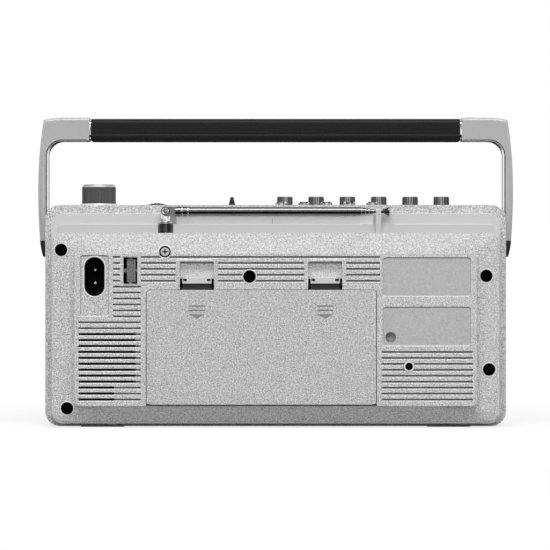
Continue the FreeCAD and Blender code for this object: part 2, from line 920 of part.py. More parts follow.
def outer_edge(setback, inner_drop, inner_steps):
    """A test for a step's outer edges, which reach beyond the outline of the step inside it."""
    in_plane = lies_at(1, f"{rear_face} - {setback}")
    half = size(f"{slab_half} + step_side * {inner_steps}") + 0.01
    low = size(f"{slab_low} - step_under * {inner_steps}") - 0.01
    high = size(f"case_top - {inner_drop}") + 0.01

    def is_outer(edge):
        box = edge.BoundBox
        inside = max(-box.XMin, box.XMax) < half and box.ZMin > low and box.ZMax < high
        return in_plane(edge) and not inside

    return is_outer


def hollow(shell):
    """The inside, one pocket behind each step, all cut from the parting plane."""
    shell.pocket(case_outline(shell, parting, "wall"), f"{rim_face} - wall - {parting}")
    for setback, drop, steps_out in (
        ("step_two_setback", "step_two_drop", 2),
        ("step_three_setback", "step_three_drop", 1),
        ("slab_setback", "slab_drop", 0),
    ):
        deep = f"({rear_face} - {setback}) - wall - {parting}"
        shell.pocket(step_outline(shell, parting, drop, steps_out, "wall"), deep)
    half = f"({pad_half} - wall)"
    inside = ("XZ", parting, f"-{half}", half, f"{pad_low} + wall", f"{pad_top} - wall", "pad_corner")
    shell.pocket(shell.rounded(*inside), f"{pad_inside} - {parting}")


def screw_wells(bosses, openings):
    """A deep counterbored boss for each case screw."""
    for across, up, boss_end in SCREWS:
        bosses.rod("Y", across, up, parting, boss_end, "well_radius + well_wall")
        openings.rod("Y", across, up, "screw_seat", f"{rear_face} + 1", "well_radius")
        openings.rod("Y", across, up, f"{parting} - 1", "screw_seat + 1", "screw_shank + fit_gap")


def battery_opening(bosses, openings):
    """The door's opening, its hinge-pin holes, and a framed finger scoop above each latch."""
    for middle in LATCHES.values():
        half = "(latch_pocket_width / 2 + pocket_frame)"
        frame = ("XZ", f"{rear_face} + frame_raise", f"{middle} - {half}", f"{middle} + {half}",
                 f"{door_top} - pocket_frame", f"{latch_top} + pocket_frame", "pocket_frame")
        bosses.pad(bosses.rounded(*frame), "frame_raise + wall / 2")
        half = "(latch_pocket_width / 2 + wall)"
        bosses.block(f"{middle} - {half}", f"{middle} + {half}",
                     f"{rear_face} - scoop_deep - wall", f"{pad_inside} + wall / 2",
                     scoop_low, f"{latch_top} + wall")
        points = [
            (f"{rear_face} + 5", scoop_low), (f"{rear_face} - scoop_deep", scoop_low),
            (f"{rear_face} - scoop_deep", f"{latch_top} - scoop_round", "-scoop_arc"),
            (rear_face, latch_top), (f"{rear_face} + 5", latch_top),
        ]
        openings.pad(openings.outline("YZ", middle, points), "latch_pocket_width", middle=True)
        half = "latch_pocket_width / 2"
        openings.block(f"{middle} - {half}", f"{middle} + {half}", f"{rear_face} - scoop_deep - wall - 1",
                       f"{rear_face} + 5", f"{door_top} - 1", scoop_low)
    opening = ("XZ", f"{rear_face} + 5", f"{door_right} - door_gap", f"{door_left} + door_gap",
               "door_low - door_gap", f"{door_top} + door_gap", "door_corner + door_gap")
    openings.pad(openings.rounded(*opening), "wall + 6")
    openings.block(f"{door_right} - door_gap", f"{door_left} + door_gap", f"{rear_face} - wall - 1",
                   f"{rear_face} + 5", "door_low - door_gap", "door_low + door_corner")
    openings.rod("X", f"{rear_face} - door_thick / 2", "door_low + door_thick / 2",
                 f"{door_right} - door_gap - door_pin_long", f"{door_left} + door_gap + door_pin_long",
                 "door_pin + pin_gap")


def ladder(tool, left, right, first_row, rows, deep="groove_deep"):
    """Level grooves between two places across the pad, from one row down, their lower lips sloped."""
    middle = f"({pad_top} - groove_drop - groove_pitch * {first_row})"
    top, low = f"{middle} + groove_tall / 2", f"{middle} - groove_tall / 2"
    outside, floor = f"{rear_face} + 1", f"{rear_face} - {deep}"
    points = [(outside, top), (floor, top), (floor, low), (f"{rear_face} - groove_lip", low),
              (outside, f"{low} - groove_lip - 1")]
    across = f"(({left} + {right}) / 2)"
    bar = tool.pad(tool.outline("YZ", across, points), f"abs({left} - ({right}))", middle=True)
    if rows > 1:
        tool.repeat(bar, "Z", "-groove_pitch", rows)


def grooves_and_vents(openings):
    """Shallow grooves all over the pad, and slots right through it beside the transformer."""
    outer_latch, inner_latch = LATCHES.values()
    ladder(openings, "mid_groove_inner", "mid_groove_outer", 0, 5)
    ladder(openings, "groove_right_end", "groove_left_end", 0, 1)
    ladder(openings, f"{outer_latch} + latch_margin", "groove_left_end", 1, 4)
    ladder(openings, f"{inner_latch} + latch_margin", f"{outer_latch} - latch_margin", 1, 4)
    ladder(openings, "groove_right_end", f"{inner_latch} - latch_margin", 1, 4)
    ladder(openings, "groove_left_end", "mid_groove_outer", 5, 6)
    ladder(openings, "groove_left_end", "groove_outer", 11, 14)
    ladder(openings, "-groove_outer", "groove_right_end - 1", 16, 9)
    ladder(openings, "vent_inner", "groove_outer", 13, 9, "wall * 2")
    ladder(openings, "vent_split", "groove_outer", 22, 3, "wall * 2")


def inlet_opening(openings):
    """A framed recess round the slot that the mains inlet looks out of."""
    half = "(inlet_width / 2 + inlet_frame_side)"
    frame = ("XZ", f"{rear_face} + 1", f"inlet_middle - {half} - 1", f"inlet_middle + {half} + 1",
             "inlet_frame_low - 1", "inlet_frame_high + 1", "inlet_frame_corner + 1")
    openings.pad(openings.rounded(*frame), "inlet_frame_deep + 1", taper=-SLOPED)
    low, high = "inlet_high - inlet_tall / 2", "inlet_high + inlet_tall / 2"
    slot = openings.stadium("XZ", rear_face, "inlet_middle", low, high, "inlet_width / 2")
    openings.pad(slot, "wall * 2")
    rim = f"({rear_face} - inlet_frame_deep)"
    grow = "(inlet_lip + 1)"
    lip = openings.stadium("XZ", f"{rim} + 1", "inlet_middle", f"{low} - {grow}", f"{high} + {grow}",
                           f"inlet_width / 2 + {grow}")
    openings.pad(lip, grow, taper=-SLOPED)


def knockout_window(openings):
    openings.block("knockout_right", "knockout_left", f"{rear_face} - wall * 2", f"{rear_face} + 1",
                   "knockout_low", "knockout_high")


def knockout_plate():
    """A blank plate in its window, held by four thin bridges."""
    plate = Piece("knockout_plate")
    left, right = "knockout_left", "knockout_right"
    low, high = "knockout_low", "knockout_high"
    across, level = f"({left} + {right}) / 2", f"({low} + {high}) / 2"
    back = f"{rear_face} - wall / 2"
    bridge = "knockout_bridge / 2"
    plate.block(f"{right} + knockout_moat", f"{left} - knockout_moat * 2", pad_inside, back,
                f"{low} + knockout_moat", f"{high} - knockout_moat")
    plate.block(right, left, pad_inside, back, f"{level} - {bridge}", f"{level} + {bridge}")
    plate.block(f"{across} - {bridge}", f"{across} + {bridge}", pad_inside, back, low, high)
    return plate


def label_recesses(openings):
    """Two shallow bare recesses on the right of the pad, the lower one with a round dimple."""
    for low, high in (("label_one_low", "label_one_high"), ("label_two_low", "label_two_high")):
        place = ("XZ", f"{rear_face} + 1", "-label_outer - 1", "-label_inner + 1", f"{low} - 1",
                 f"{high} + 1", "label_corner + 1")
        openings.pad(openings.rounded(*place), "label_deep + 1", taper=-SLOPED)
    openings.rod("Y", "dimple_across", "dimple_high", f"{rear_face} - label_deep * 2", rear_face,
                 "dimple_radius")


def antenna_seat(bosses, openings):
    """The swivel's bearing block, the half-round seat in the stair, and the fixing screw's well."""
    left, right = "antenna_across + seat_half", "antenna_across - seat_half"
    bosses.block(right, left, "antenna_along - seat_half", f"{slab_face} - wall / 2",
                 f"{slab_top} - seat_tall", f"{slab_top} - wall / 2")
    bosses.block(right, left, "antenna_along - seat_half", f"{rear_face} - step_three_setback - wall / 2",
                 f"{slab_top} - wall", f"case_top - step_three_drop - wall / 2")
    bosses.block(right, left, "antenna_along - seat_half", f"{rear_face} - step_two_setback - wall / 2",
                 f"case_top - step_three_drop - wall", f"case_top - step_two_drop - wall")
    openings.rod("Z", "antenna_across", "antenna_along", slab_top, "base_top + 1", "base_radius + fit_gap")
    openings.rod("Z", "antenna_across", "antenna_along", f"{slab_top} - seat_tall - 1",
                 f"{slab_top} + 1", "swivel_radius + pin_gap")
    bosses.rod("Y", "antenna_across", "fixing_high", "antenna_along", f"{slab_face} + wall",
               "fixing_recess + 1")
    openings.rod("Y", "antenna_across", "fixing_high", "fixing_seat", f"{rear_face} + 1", "fixing_recess")
    openings.rod("Y", "antenna_across", "fixing_high", "antenna_along", "fixing_seat + 1",
                 "screw_shank + fit_gap")
    scoop = "tip_scoop_width / 2"
    openings.block(f"tip_scoop_across - {scoop}", f"tip_scoop_across + {scoop}",
                   f"{rear_face} - step_three_setback - tip_scoop_deep", f"{slab_face} + 1",
                   "tip_scoop_low", f"case_top - step_three_drop + 1")



deck_inside = "(case_top - wall)"
front_inside = "(-case_depth / 2 + front_wall)"
board_top = "(board_high + board_thick)"
wheel_high = "(case_top + wheel_proud - wheel_radius)"
KEYS = ("record", "play", "rewind", "forward", "stop", "pause")
BUTTONS = 5
DECK_POSTS = tuple(
    (f"(tape_across + {side} * (tape_door_width / 2 + deck_margin - inner_post))", up)
    for side in (-1, 1)
    for up in ("(tape_door_low + post_inset)", "(tape_door_low + tape_door_tall - post_inset)")
)
BOARD_POSTS = (("(board_right + 12)", "2"), ("8", "2"), ("98", "8"))


def key_across(index):
    return f"(key_middle + key_pitch * {(len(KEYS) - 1) / 2 - index})"


def button_across(index):
    return f"(button_first - button_pitch * {index})"


def front_shell():
    """The front shell with its top deck, its control openings and the posts inside."""
    shell = Piece("front_shell")
    shell.pad(case_outline(shell, parting), f"{parting} - ({front_face})")
    shell.dress("Fillet", "front_edge_round", lies_at(1, front_face))
    hollow_deep = f"{parting} - {front_inside}"
    shell.pocket(case_outline(shell, parting, "wall"), hollow_deep, reverse=True)
    bosses, openings = Piece("front_bosses"), Piece("front_openings")
    for across, up, _ in SCREWS:
        bosses.rod("Y", across, up, f"{front_inside} - 1", parting, "post_radius")
        openings.rod("Y", across, up, f"{parting} - screw_long - 1", f"{parting} + 1",
                     "screw_shank + pin_gap")
    for across, up in DECK_POSTS:
        bosses.rod("Y", across, up, f"{front_inside} - 1", "deck_front", "inner_post")
    for across, along in BOARD_POSTS:
        bosses.rod("Z", across, along, board_top, f"{deck_inside} + 1", "inner_post")
    dial_recess(bosses, openings)
    handle_sockets(bosses, openings)
    top_openings(openings)
    front_openings(openings)
    shell.combine("Fuse", bosses)
    shell.combine("Cut", openings)
    return shell


def dial_recess(bosses, openings):
    """A box behind the dial window with a slot in its floor for the pointer's foot."""
    lap = "dial_window_lap"
    bosses.block(f"dial_right - {lap} / 2", f"dial_left + {lap} / 2", f"{front_inside} - 1",
                 "dial_floor + dial_floor_thick", f"dial_low - {lap} / 2", f"dial_high + {lap} / 2")
    openings.block("dial_right", "dial_left", f"{front_face} - 1", "dial_floor", "dial_low", "dial_high")
    openings.block(f"dial_right - {lap}", f"dial_left + {lap}", f"{front_face} - 1",
                   f"{front_face} + dial_window_thick", f"dial_low - {lap}", f"dial_high + {lap}")
    slot_low = "dial_low + pointer_slot_low"
    openings.block("pointer_home - pointer_travel - pointer_spare",
                   "pointer_home + pointer_travel + pointer_spare",
                   "dial_floor - 1", "dial_floor + dial_floor_thick + 1",
                   slot_low, slot_low + " + pointer_slot")


def handle_sockets(bosses, openings):
    """The bored bosses in the side walls that the handle's pivots are pressed into."""
    for side in ("", "-"):
        inner, outer = f"({half_width} - pivot_long)", f"({half_width} - wall / 2)"
        ends = (inner, outer) if not side else (f"-{outer}", f"-{inner}")
        bosses.rod("X", "pivot_along", "pivot_high", *ends, "pivot_radius * 2")
        outer = f"({half_width} + 1)"
        ends = (inner, outer) if not side else (f"-{outer}", f"-{inner}")
        openings.rod("X", "pivot_along", "pivot_high", *ends, "pivot_radius + press_gap")


def top_openings(openings):
    """Slots and holes in the top deck for every control."""
    low, high = f"{deck_inside} - 1", "case_top + 1"
    gap = "fit_gap"
    for index in range(len(KEYS)):
        across = key_across(index)
        openings.block(f"{across} - key_width / 2 - {gap}", f"{across} + key_width / 2 + {gap}",
                       f"key_along - key_deep / 2 - {gap}", f"key_along + key_deep / 2 + {gap}", low, high)
    for index in range(BUTTONS):
        openings.rod("Z", button_across(index), "button_along", low, high, f"button_radius + {gap}")
    openings.rod("Z", "knob_across", "knob_along", low, high, f"knob_shaft + {gap}")
    buried = "(wheel_radius - wheel_proud - wall)"
    reach = f"(sqrt(wheel_radius * wheel_radius - {buried} * {buried}) + {gap})"
    openings.block(f"wheel_across - {reach}", f"wheel_across + {reach}", f"wheel_front - {gap}",
                   f"wheel_front + wheel_thick + {gap}", low, high)
    travel = f"(slide_travel + slide_width / 2 + {gap})"
    openings.block(f"slide_across - {travel}", f"slide_across + {travel}", "slide_along - slide_slot / 2",
                   "slide_along + slide_slot / 2", low, high)


def front_openings(openings):
    """The cassette bay, the loudspeaker's opening, the grille's recess and the seats of the feet."""
    half = "(tape_door_width / 2 + fit_gap)"
    openings.block(f"tape_across - {half}", f"tape_across + {half}", f"{front_face} - 1",
                   f"{front_inside} + 1", "tape_door_low - fit_gap",
                   "tape_door_low + tape_door_tall + fit_gap")
    openings.rod("X", f"{front_face} + tape_hinge_in", "tape_door_low + tape_hinge_in",
                 f"tape_across - {half} - tape_pin_long",
                 f"tape_across + {half} + tape_pin_long", "tape_pin + pin_gap")
    openings.rod("Y", "speaker_across", "speaker_high", f"{front_face} - 1", f"{front_inside} + 1",
                 "speaker_opening")
    half = "(grille_width / 2 + fit_gap / 2)"
    openings.block(f"speaker_across - {half}", f"speaker_across + {half}", f"{front_face} - 1",
                   f"{front_face} + grille_thick", "grille_low - fit_gap / 2", "grille_high + fit_gap / 2")
    for across in ("foot_across", "-foot_across"):
        foot_block(openings, across, "front_foot_along", "-1")


def foot_block(piece, across, along, low):
    piece.block(f"{across} - foot_long / 2", f"{across} + foot_long / 2",
                f"{along} - foot_wide / 2", f"{along} + foot_wide / 2", low, "foot_thick")


def feet():
    """Four rubber strips let into the underside of both shells."""
    pads = Piece("feet")
    for across in ("foot_across", "-foot_across"):
        for along in ("front_foot_along", "rear_foot_along"):
            foot_block(pads, across, along, "0")
    return pads


def battery_door():
    """The lid of the battery bay: a rounded hinge edge, two pins, the latches' rails and marks."""
    door = Piece("battery_door")
    outline = ("XZ", rear_face, door_right, door_left, "door_low", door_top, "door_corner")
    door.pad(door.rounded(*outline), "door_thick")
    door.dress("Chamfer", "door_edge", lies_at(1, rear_face))
    pivot = (f"{rear_face} - door_thick / 2", "door_low + door_thick / 2")
    flat_end = f"{door_right} + door_corner", f"{door_left} - door_corner"
    door.block(f"{door_right} - 1", f"{door_left} + 1", f"{rear_face} - door_thick - 1",
               f"{rear_face} + 1", "door_low - 1", "door_low + door_thick / 2", cut=True)
    door.rod("X", *pivot, *flat_end, "door_thick / 2")
    door.rod("X", *pivot, f"{door_right} - door_gap - door_pin_long + pin_end_gap",
             f"{door_left} + door_gap + door_pin_long - pin_end_gap", "door_pin")
    for middle in LATCHES.values():
        for side in ("-", "+"):
            inner = "(latch_shoulder / 2 + latch_play)"
            ends = sorted_ends(middle, side, inner, f"({inner} + latch_rail)")
            door.block(*ends, f"{rear_face} - door_thick - latch_thick - latch_play * 2",
                       f"{rear_face} - door_thick + 0.5", f"{door_top} - latch_rail_low",
                       f"{door_top} - latch_rail_high")
        latch_marks(door, middle)
    return door


def latch_marks(door, middle):
    """Two shallow bars and a triangle pointing down, sunk in the door under a latch."""
    half = "mark_width / 2"
    for row in range(2):
        up = f"({door_top} - mark_drop - mark_pitch * {row})"
        door.block(f"{middle} - {half}", f"{middle} + {half}", f"{rear_face} - mark_deep",
                   f"{rear_face} + 1", f"{up} - mark_bar / 2", f"{up} + mark_bar / 2", cut=True)
    top = f"({door_top} - mark_arrow_drop)"
    tip = f"{top} - mark_arrow_tall"
    points = [(f"{middle} + {half}", top), (f"{middle} - {half}", top), (middle, tip)]
    door.pocket(door.outline("XZ", f"{rear_face} + 1", points), "mark_deep + 1", reverse=True)


def sorted_ends(middle, side, inner, outer):
    near, far = f"{middle} {side} {inner}", f"{middle} {side} {outer}"
    return (near, far) if side == "+" else (far, near)


latch_back = f"({rear_face} - door_thick - latch_play)"


def battery_latch(name, middle):
    """A sliding tongue in the door's rails: a finger lip in the scoop, a hook behind its wall."""
    latch = Piece("battery_latch_" + name)
    plate = f"{latch_back} - latch_thick"
    low, nose = f"{door_top} + latch_lip", f"{door_top} + latch_nose"
    under = f"({scoop_low} - latch_play)"
    half = "latch_shoulder / 2"
    latch.block(f"{middle} - {half}", f"{middle} + {half}", plate, latch_back, f"{door_top} - latch_tail",
                under)
    lip = f"{rear_face} - latch_thick / 2"
    latch.block(f"{middle} - {half}", f"{middle} + {half}", plate, lip, low, under)
    half = "latch_width / 2"
    latch.block(f"{middle} - {half}", f"{middle} + {half}", f"{latch_back} - latch_thick / 2", lip,
                low, nose)
    latch.dress("Fillet", "edge_round", lambda edge: lies_at(1, lip)(edge) and lies_at(2, nose)(edge))
    catch = f"({rear_face} - scoop_deep - wall - latch_play)"
    latch.block(f"{middle} - {half}", f"{middle} + {half}", f"{catch} - latch_catch", plate,
                f"{under} - latch_catch", under)
    latch.block(f"{middle} - {half}", f"{middle} + {half}", f"{catch} - latch_catch", catch,
                f"{under} - latch_catch", f"{scoop_low} + latch_hook")
    return latch


tub_low = f"({pad_low} + wall + fit_gap)"
tub_middle = f"(({tub_low} + bay_wall + {door_top} - bay_ledge) / 2)"
tub_floor = f"({pad_inside} - bay_depth)"


def battery_box():
    """The tub for four large cells, open to the back, with a rib between the two rows."""
    tub = Piece("battery_box")
    outer = ("XZ", pad_inside, f"{door_right} - bay_wall", f"{door_left} + bay_wall", tub_low,
             f"{door_top} + bay_wall", "door_corner")
    tub.pad(tub.rounded(*outer), "bay_depth + bay_wall")
    inner = ("XZ", pad_inside, f"{door_right} + bay_ledge", f"{door_left} - bay_ledge",
             f"{tub_low} + bay_wall", f"{door_top} - bay_ledge", "door_corner")
    tub.pocket(tub.rounded(*inner), "bay_depth", reverse=True)
    for middle in LATCHES.values():
        half = "latch_pocket_width / 2"
        tub.block(f"{middle} - {half}", f"{middle} + {half}", f"{pad_inside} - latch_room",
                  f"{pad_inside} + 1", f"{door_top} - bay_ledge - 1", f"{door_top} + bay_wall + 1",
                  cut=True)
    tub.block(f"{door_right} + bay_ledge", f"{door_left} - bay_ledge", f"{tub_floor} - 1",
              f"{tub_floor} + bay_rib_tall", f"{tub_middle} - bay_rib / 2", f"{tub_middle} + bay_rib / 2")
    return tub


def battery_contacts():
    """A plate and a wound spring at the two ends of each row, turn about."""
    contacts = Piece("battery_contacts")
    left, right = f"({door_left} - bay_ledge)", f"({door_right} + bay_ledge)"
    along = f"({tub_floor} + cell_radius + cell_gap)"
    wide, thick, long = "contact_half", "contact_thick", "spring_long"
    springs = {"-": (right, f"{right} + {long}"), "+": (f"{left} - {long}", left)}
    bores = {"-": (f"{right} + {thick}", f"{right} + {long} + 1"),
             "+": (f"{left} - {long} - 1", f"{left} - {thick}")}
    for row in springs:
        up = f"({tub_middle} {row} (cell_radius + cell_gap))"
        for near, far in ((f"{left} - {thick}", left), (right, f"{right} + {thick}")):
            contacts.block(near, far, f"{along} - {wide}", f"{along} + {wide}", f"{up} - {wide}",
                           f"{up} + {wide}")
        contacts.rod("X", along, up, *springs[row], "spring_radius")
        contacts.rod("X", along, up, *bores[row], "spring_inner", cut=True)
    return contacts


def ac_inlet():
    """The figure-eight mains inlet: a deep slot-shaped well in a black body behind the wall."""
    inlet = Piece("ac_inlet")
    low, high = "(inlet_high - inlet_tall / 2)", "(inlet_high + inlet_tall / 2)"
    half = "(inlet_width / 2 + inlet_body)"
    floor = f"({pad_inside} - inlet_deep)"
    inlet.block(f"inlet_middle - {half}", f"inlet_middle + {half}", f"{floor} - inlet_body",
                pad_inside, f"{low} - inlet_body", high)
    neck = inlet.stadium("XZ", f"{rear_face} - inlet_frame_deep", "inlet_middle", f"{low} + door_gap",
                         f"{high} - door_gap", "inlet_width / 2 - door_gap")
    inlet.pad(neck, "wall")
    inset = "(inlet_wall + door_gap)"
    well = inlet.stadium("XZ", rear_face, "inlet_middle", f"{low} + {inset}", f"{high} - {inset}",
                         f"inlet_width / 2 - {inset}")
    inlet.pocket(well, f"{rear_face} - {floor}", reverse=True)
    for side in ("-", "+"):
        inlet.rod("Y", "inlet_middle", f"inlet_high {side} pin_pitch / 2", f"{floor} - inlet_body - 1",
                  f"{floor} + 1", "pin_shank + press_gap", cut=True)
    return inlet


def inlet_pins():
    """The two brass pins of the mains inlet, each on a thinner shank pressed into the floor."""
    pins = Piece("inlet_pins")
    floor = f"({pad_inside} - inlet_deep)"
    for side in ("-", "+"):
        centre = ("inlet_middle", f"inlet_high {side} pin_pitch / 2")
        pins.rod("Y", *centre, f"{floor} - pin_tail", f"{floor} + pin_shoulder * 2", "pin_shank")
        pins.rod("Y", *centre, f"{floor} + pin_shoulder", f"{floor} + pin_long", "pin_radius")
    pins.dress("Fillet", "pin_radius / 2", lies_at(1, f"{floor} + pin_long"))
    return pins


def dc_jack():
    """The low-voltage jack: a collar in the rear wall and a body behind it."""
    jack = Piece("dc_jack")
    jack.rod("Y", "jack_across", "jack_high", f"{pad_inside} - jack_deep - 1", pad_inside,
             "jack_collar + jack_body")
    jack.rod("Y", "jack_across", "jack_high", pad_inside, f"{rear_face} + jack_proud", "jack_collar")
    jack.rod("Y", "jack_across", "jack_high", f"{pad_inside} - jack_deep + 1", f"{rear_face} + 1",
             "jack_bore", cut=True)
    return jack


def transformer():
    """A laminated core with its winding, held to the rear wall by two feet."""
    core = Piece("transformer")
    half, tall = "transformer_wide / 2", "transformer_tall / 2"
    front = f"({pad_inside} - transformer_deep - transformer_foot)"
    core.block(f"transformer_across - {half}", f"transformer_across + {half}", front,
               f"{front} + transformer_deep", f"transformer_high - {tall}", f"transformer_high + {tall}")
    core.block(f"transformer_across - {half} + winding_side",
               f"transformer_across + {half} - winding_side", f"{front} - winding_proud", f"{front} + 1",
               f"transformer_high - {tall} + winding_end", f"transformer_high + {tall} - winding_end")
    for side in ("-", "+"):
        lug = f"(transformer_high {side} {tall})"
        core.block(f"transformer_across - {half}", f"transformer_across + {half}",
                   f"{front} + transformer_deep - 1", pad_inside, f"{lug} - transformer_foot",
                   f"{lug} + transformer_foot")
    return core


def case_screws():
    """The five case screws and the antenna's fixing screw."""
    screws = Piece("case_screws")
    for across, up, _ in SCREWS:
        cross_head(screws, across, up, "screw_seat", "screw_long")
    cross_head(screws, "antenna_across", "fixing_high", "fixing_seat",
               "fixing_seat - antenna_along - swivel_radius - pin_end_gap")
    return screws


def cross_head(screws, across, up, seat, length):
    """A pan-head screw along Y with a cross recess."""
    screws.rod("Y", across, up, f"{seat} - ({length})", f"{seat} + 0.5", "screw_shank")
    screws.rod("Y", across, up, seat, f"{seat} + screw_head_tall", "screw_head")
    for wide, tall in (("cross_wide", "cross_long"), ("cross_long", "cross_wide")):
        screws.block(f"{across} - {wide} / 2", f"{across} + {wide} / 2",
                     f"{seat} + screw_head_tall - cross_deep", f"{seat} + screw_head_tall + 1",
                     f"{up} - {tall} / 2", f"{up} + {tall} / 2", cut=True)


# The antenna --------------------------------------------------------------------------

TUBES = 5
tube_up = "(antenna_high - tube_drop)"


def antenna_base():
    """The swivel: a round foot on a shaft, with a flat lug on top for the elbow."""
    base = Piece("antenna_base")
    centre = ("antenna_across", "antenna_along")
    base.rod("Z", *centre, f"{slab_top} + fit_gap", "base_top", "base_radius")
    base.dress("Fillet", "edge_round", lies_at(2, "base_top"))
    base.rod("Z", *centre, f"{slab_top} - seat_tall + 1", f"{slab_top} + 1", "swivel_radius")
    lug_front = "(antenna_along - lug_thick)"
    base.block("antenna_across - lug_width / 2", "antenna_across + lug_width / 2", lug_front,
               "antenna_along", "base_top - 1", "antenna_high")
    base.rod("Y", "antenna_across", "antenna_high", lug_front, "antenna_along", "lug_width / 2")
    base.rod("Y", "antenna_across", "antenna_high", f"{lug_front} - 1", "antenna_along + 1",
             "elbow_pin + press_gap", cut=True)
    return base


def antenna_root():
    """The flat plate that turns on the elbow screw, and the ringed ferrule that holds the rod."""
    root = Piece("antenna_root")
    plate = ("antenna_along + elbow_gap", "antenna_along + elbow_gap + lug_thick")
    root.rod("Y", "antenna_across", "antenna_high", *plate, "lug_width / 2")
    root.block("antenna_across - ferrule_start - 1", "antenna_across", *plate,
               f"{tube_up} - lug_width / 2 + root_flat", f"{tube_up} + lug_width / 2 - root_flat")
    root.rod("X", "antenna_along", tube_up, "antenna_across - root_reach",
             "antenna_across - ferrule_start", "ferrule_radius")
    for ring in (1, 2):
        start = f"antenna_across - ferrule_start - root_ring_pitch * {ring}"
        root.rod("X", "antenna_along", tube_up, f"{start} - root_ring_wide", start,
                 "ferrule_radius + root_ring_proud")
    root.rod("Y", "antenna_across", "antenna_high", "antenna_along - 1", "antenna_along + 1 + lug_thick",
             "elbow_pin + pin_gap", cut=True)
    root.rod("X", "antenna_along", tube_up, "antenna_across - root_reach - 1",
             "antenna_across - ferrule_start - root_bore", "tube_radius + tube_press", cut=True)
    return root


def antenna_pin():
    """The elbow screw, its head on the battery side."""
    pin = Piece("antenna_pin")
    face = "(antenna_along + elbow_gap * 1.5 + lug_thick)"
    pin.rod("Y", "antenna_across", "antenna_high", "antenna_along - lug_thick - elbow_pin_end",
            f"{face} + elbow_gap", "elbow_pin")
    pin.rod("Y", "antenna_across", "antenna_high", face, f"{face} + elbow_head_tall", "elbow_head")
    pin.dress("Fillet", "elbow_head_tall / 2", lies_at(1, f"{face} + elbow_head_tall"))
    return pin


def antenna_tube(index):
    """One telescopic section: 1 is the outermost. Each peeps out of the one around it."""
    tube = Piece(f"antenna_tube_{index}")
    radius = f"(tube_radius - tube_step * {index - 1})"
    end = f"(tube_end - tube_peep * {index - 1})"
    start = f"(antenna_across - ferrule_start - tube_seat - tube_nest * {index - 1})"
    tube.rod("X", "antenna_along", tube_up, end, start, radius)
    tube.rod("X", "antenna_along", tube_up, f"{end} - 1", f"{start} + 1", f"{radius} - tube_wall",
             cut=True)
    return tube


def antenna_tip():
    """The solid last section with its flared end cap, turned about the rod's axis."""
    tip = Piece("antenna_tip")
    start = f"(antenna_across - ferrule_start - tube_seat - tube_nest * {TUBES})"
    points = [
        (start, "0"), (start, "tip_radius"), ("cap_start", "tip_radius"),
        ("cap_start - cap_radius / 2", "cap_radius"), ("cap_end + cap_radius / 4", "cap_radius"),
        ("cap_end", "cap_radius * 0.75"), ("cap_end", "0"),
    ]
    tip.turned(tip.outline("XY", "0", points), "H_Axis")
    return tip.place("0", "antenna_along", tube_up)


def antenna_clip():
    """A springy post that the thin end of the rod snaps in behind."""
    clip = Piece("antenna_clip")
    front = f"(antenna_along + tube_radius - tube_step * {TUBES - 1} + clip_gap)"
    clip.block("clip_across - clip_width / 2", "clip_across + clip_width / 2", front,
               f"{front} + clip_thick", slab_top, "clip_high")
    clip.dress("Fillet", "clip_round", lies_at(2, "clip_high"))
    return clip


# The handle ---------------------------------------------------------------------------

arm_inner = "(case_width / 2 + arm_gap)"
handle_front = "(pivot_along - arm_depth / 2)"
handle_back = "(pivot_along + arm_depth / 2)"


def handle_arm(name, side):
    """One bowed side arm with its top corner, from the pivot hub to the grip's ferrule."""
    arm = Piece("handle_arm_" + name)

    def across(text):
        return f"{side}({text})"

    foot = f"{arm_inner} + arm_foot"
    bow = f"{arm_inner} + arm_bow - arm_bow_in"
    sign = "-" if side else ""
    points = [
        (across(arm_inner), "hub_top"),
        (across(f"{foot} + arm_flare"), "hub_top", f"{sign}arm_lower_arc"),
        (across(bow), "(hub_top + handle_top) / 2 + arm_bow_rise", f"{sign}arm_upper_arc"),
        (across(f"{bow} - arm_shoulder_in"), "handle_shoulder", f"{sign}arm_corner_arc"),
        (across("grip_half + arm_shoulder_reach"), "handle_top"),
        (across("grip_half + ferrule_wide / 2"), "handle_top"),
        (across("grip_half + ferrule_wide / 2"), "handle_under"),
        (across(f"{arm_inner} - handle_round"), "handle_under", f"-({sign}handle_round)"),
        (across(arm_inner), "handle_under - handle_round"),
    ]
    arm.pad(arm.outline("XZ", handle_back, points), "arm_depth")
    arm.dress("Fillet", "handle_edge", handle_rim(side))
    return arm


def handle_rim(side):
    """A test for the outer edges of an arm's two faces."""
    faces = [size(handle_front), size(handle_back)]
    inner = size(f"{arm_inner}") + 0.3
    sign = -1 if side else 1

    def is_rim(edge):
        low, high = spans(edge, 1)
        if high - low > 1e-4 or min(abs(low - face) for face in faces) > 1e-4:
            return False
        reach = max(sign * end for end in spans(edge, 0))
        top = spans(edge, 2)[1]
        flat_foot = spans(edge, 2)[1] - spans(edge, 2)[0] < 1e-4 and top < size("hub_top") + 1
        upright_end = spans(edge, 0)[1] - spans(edge, 0)[0] < 1e-4
        return (reach > inner or top > size("handle_top") - 2) and not flat_foot and not upright_end

    return is_rim


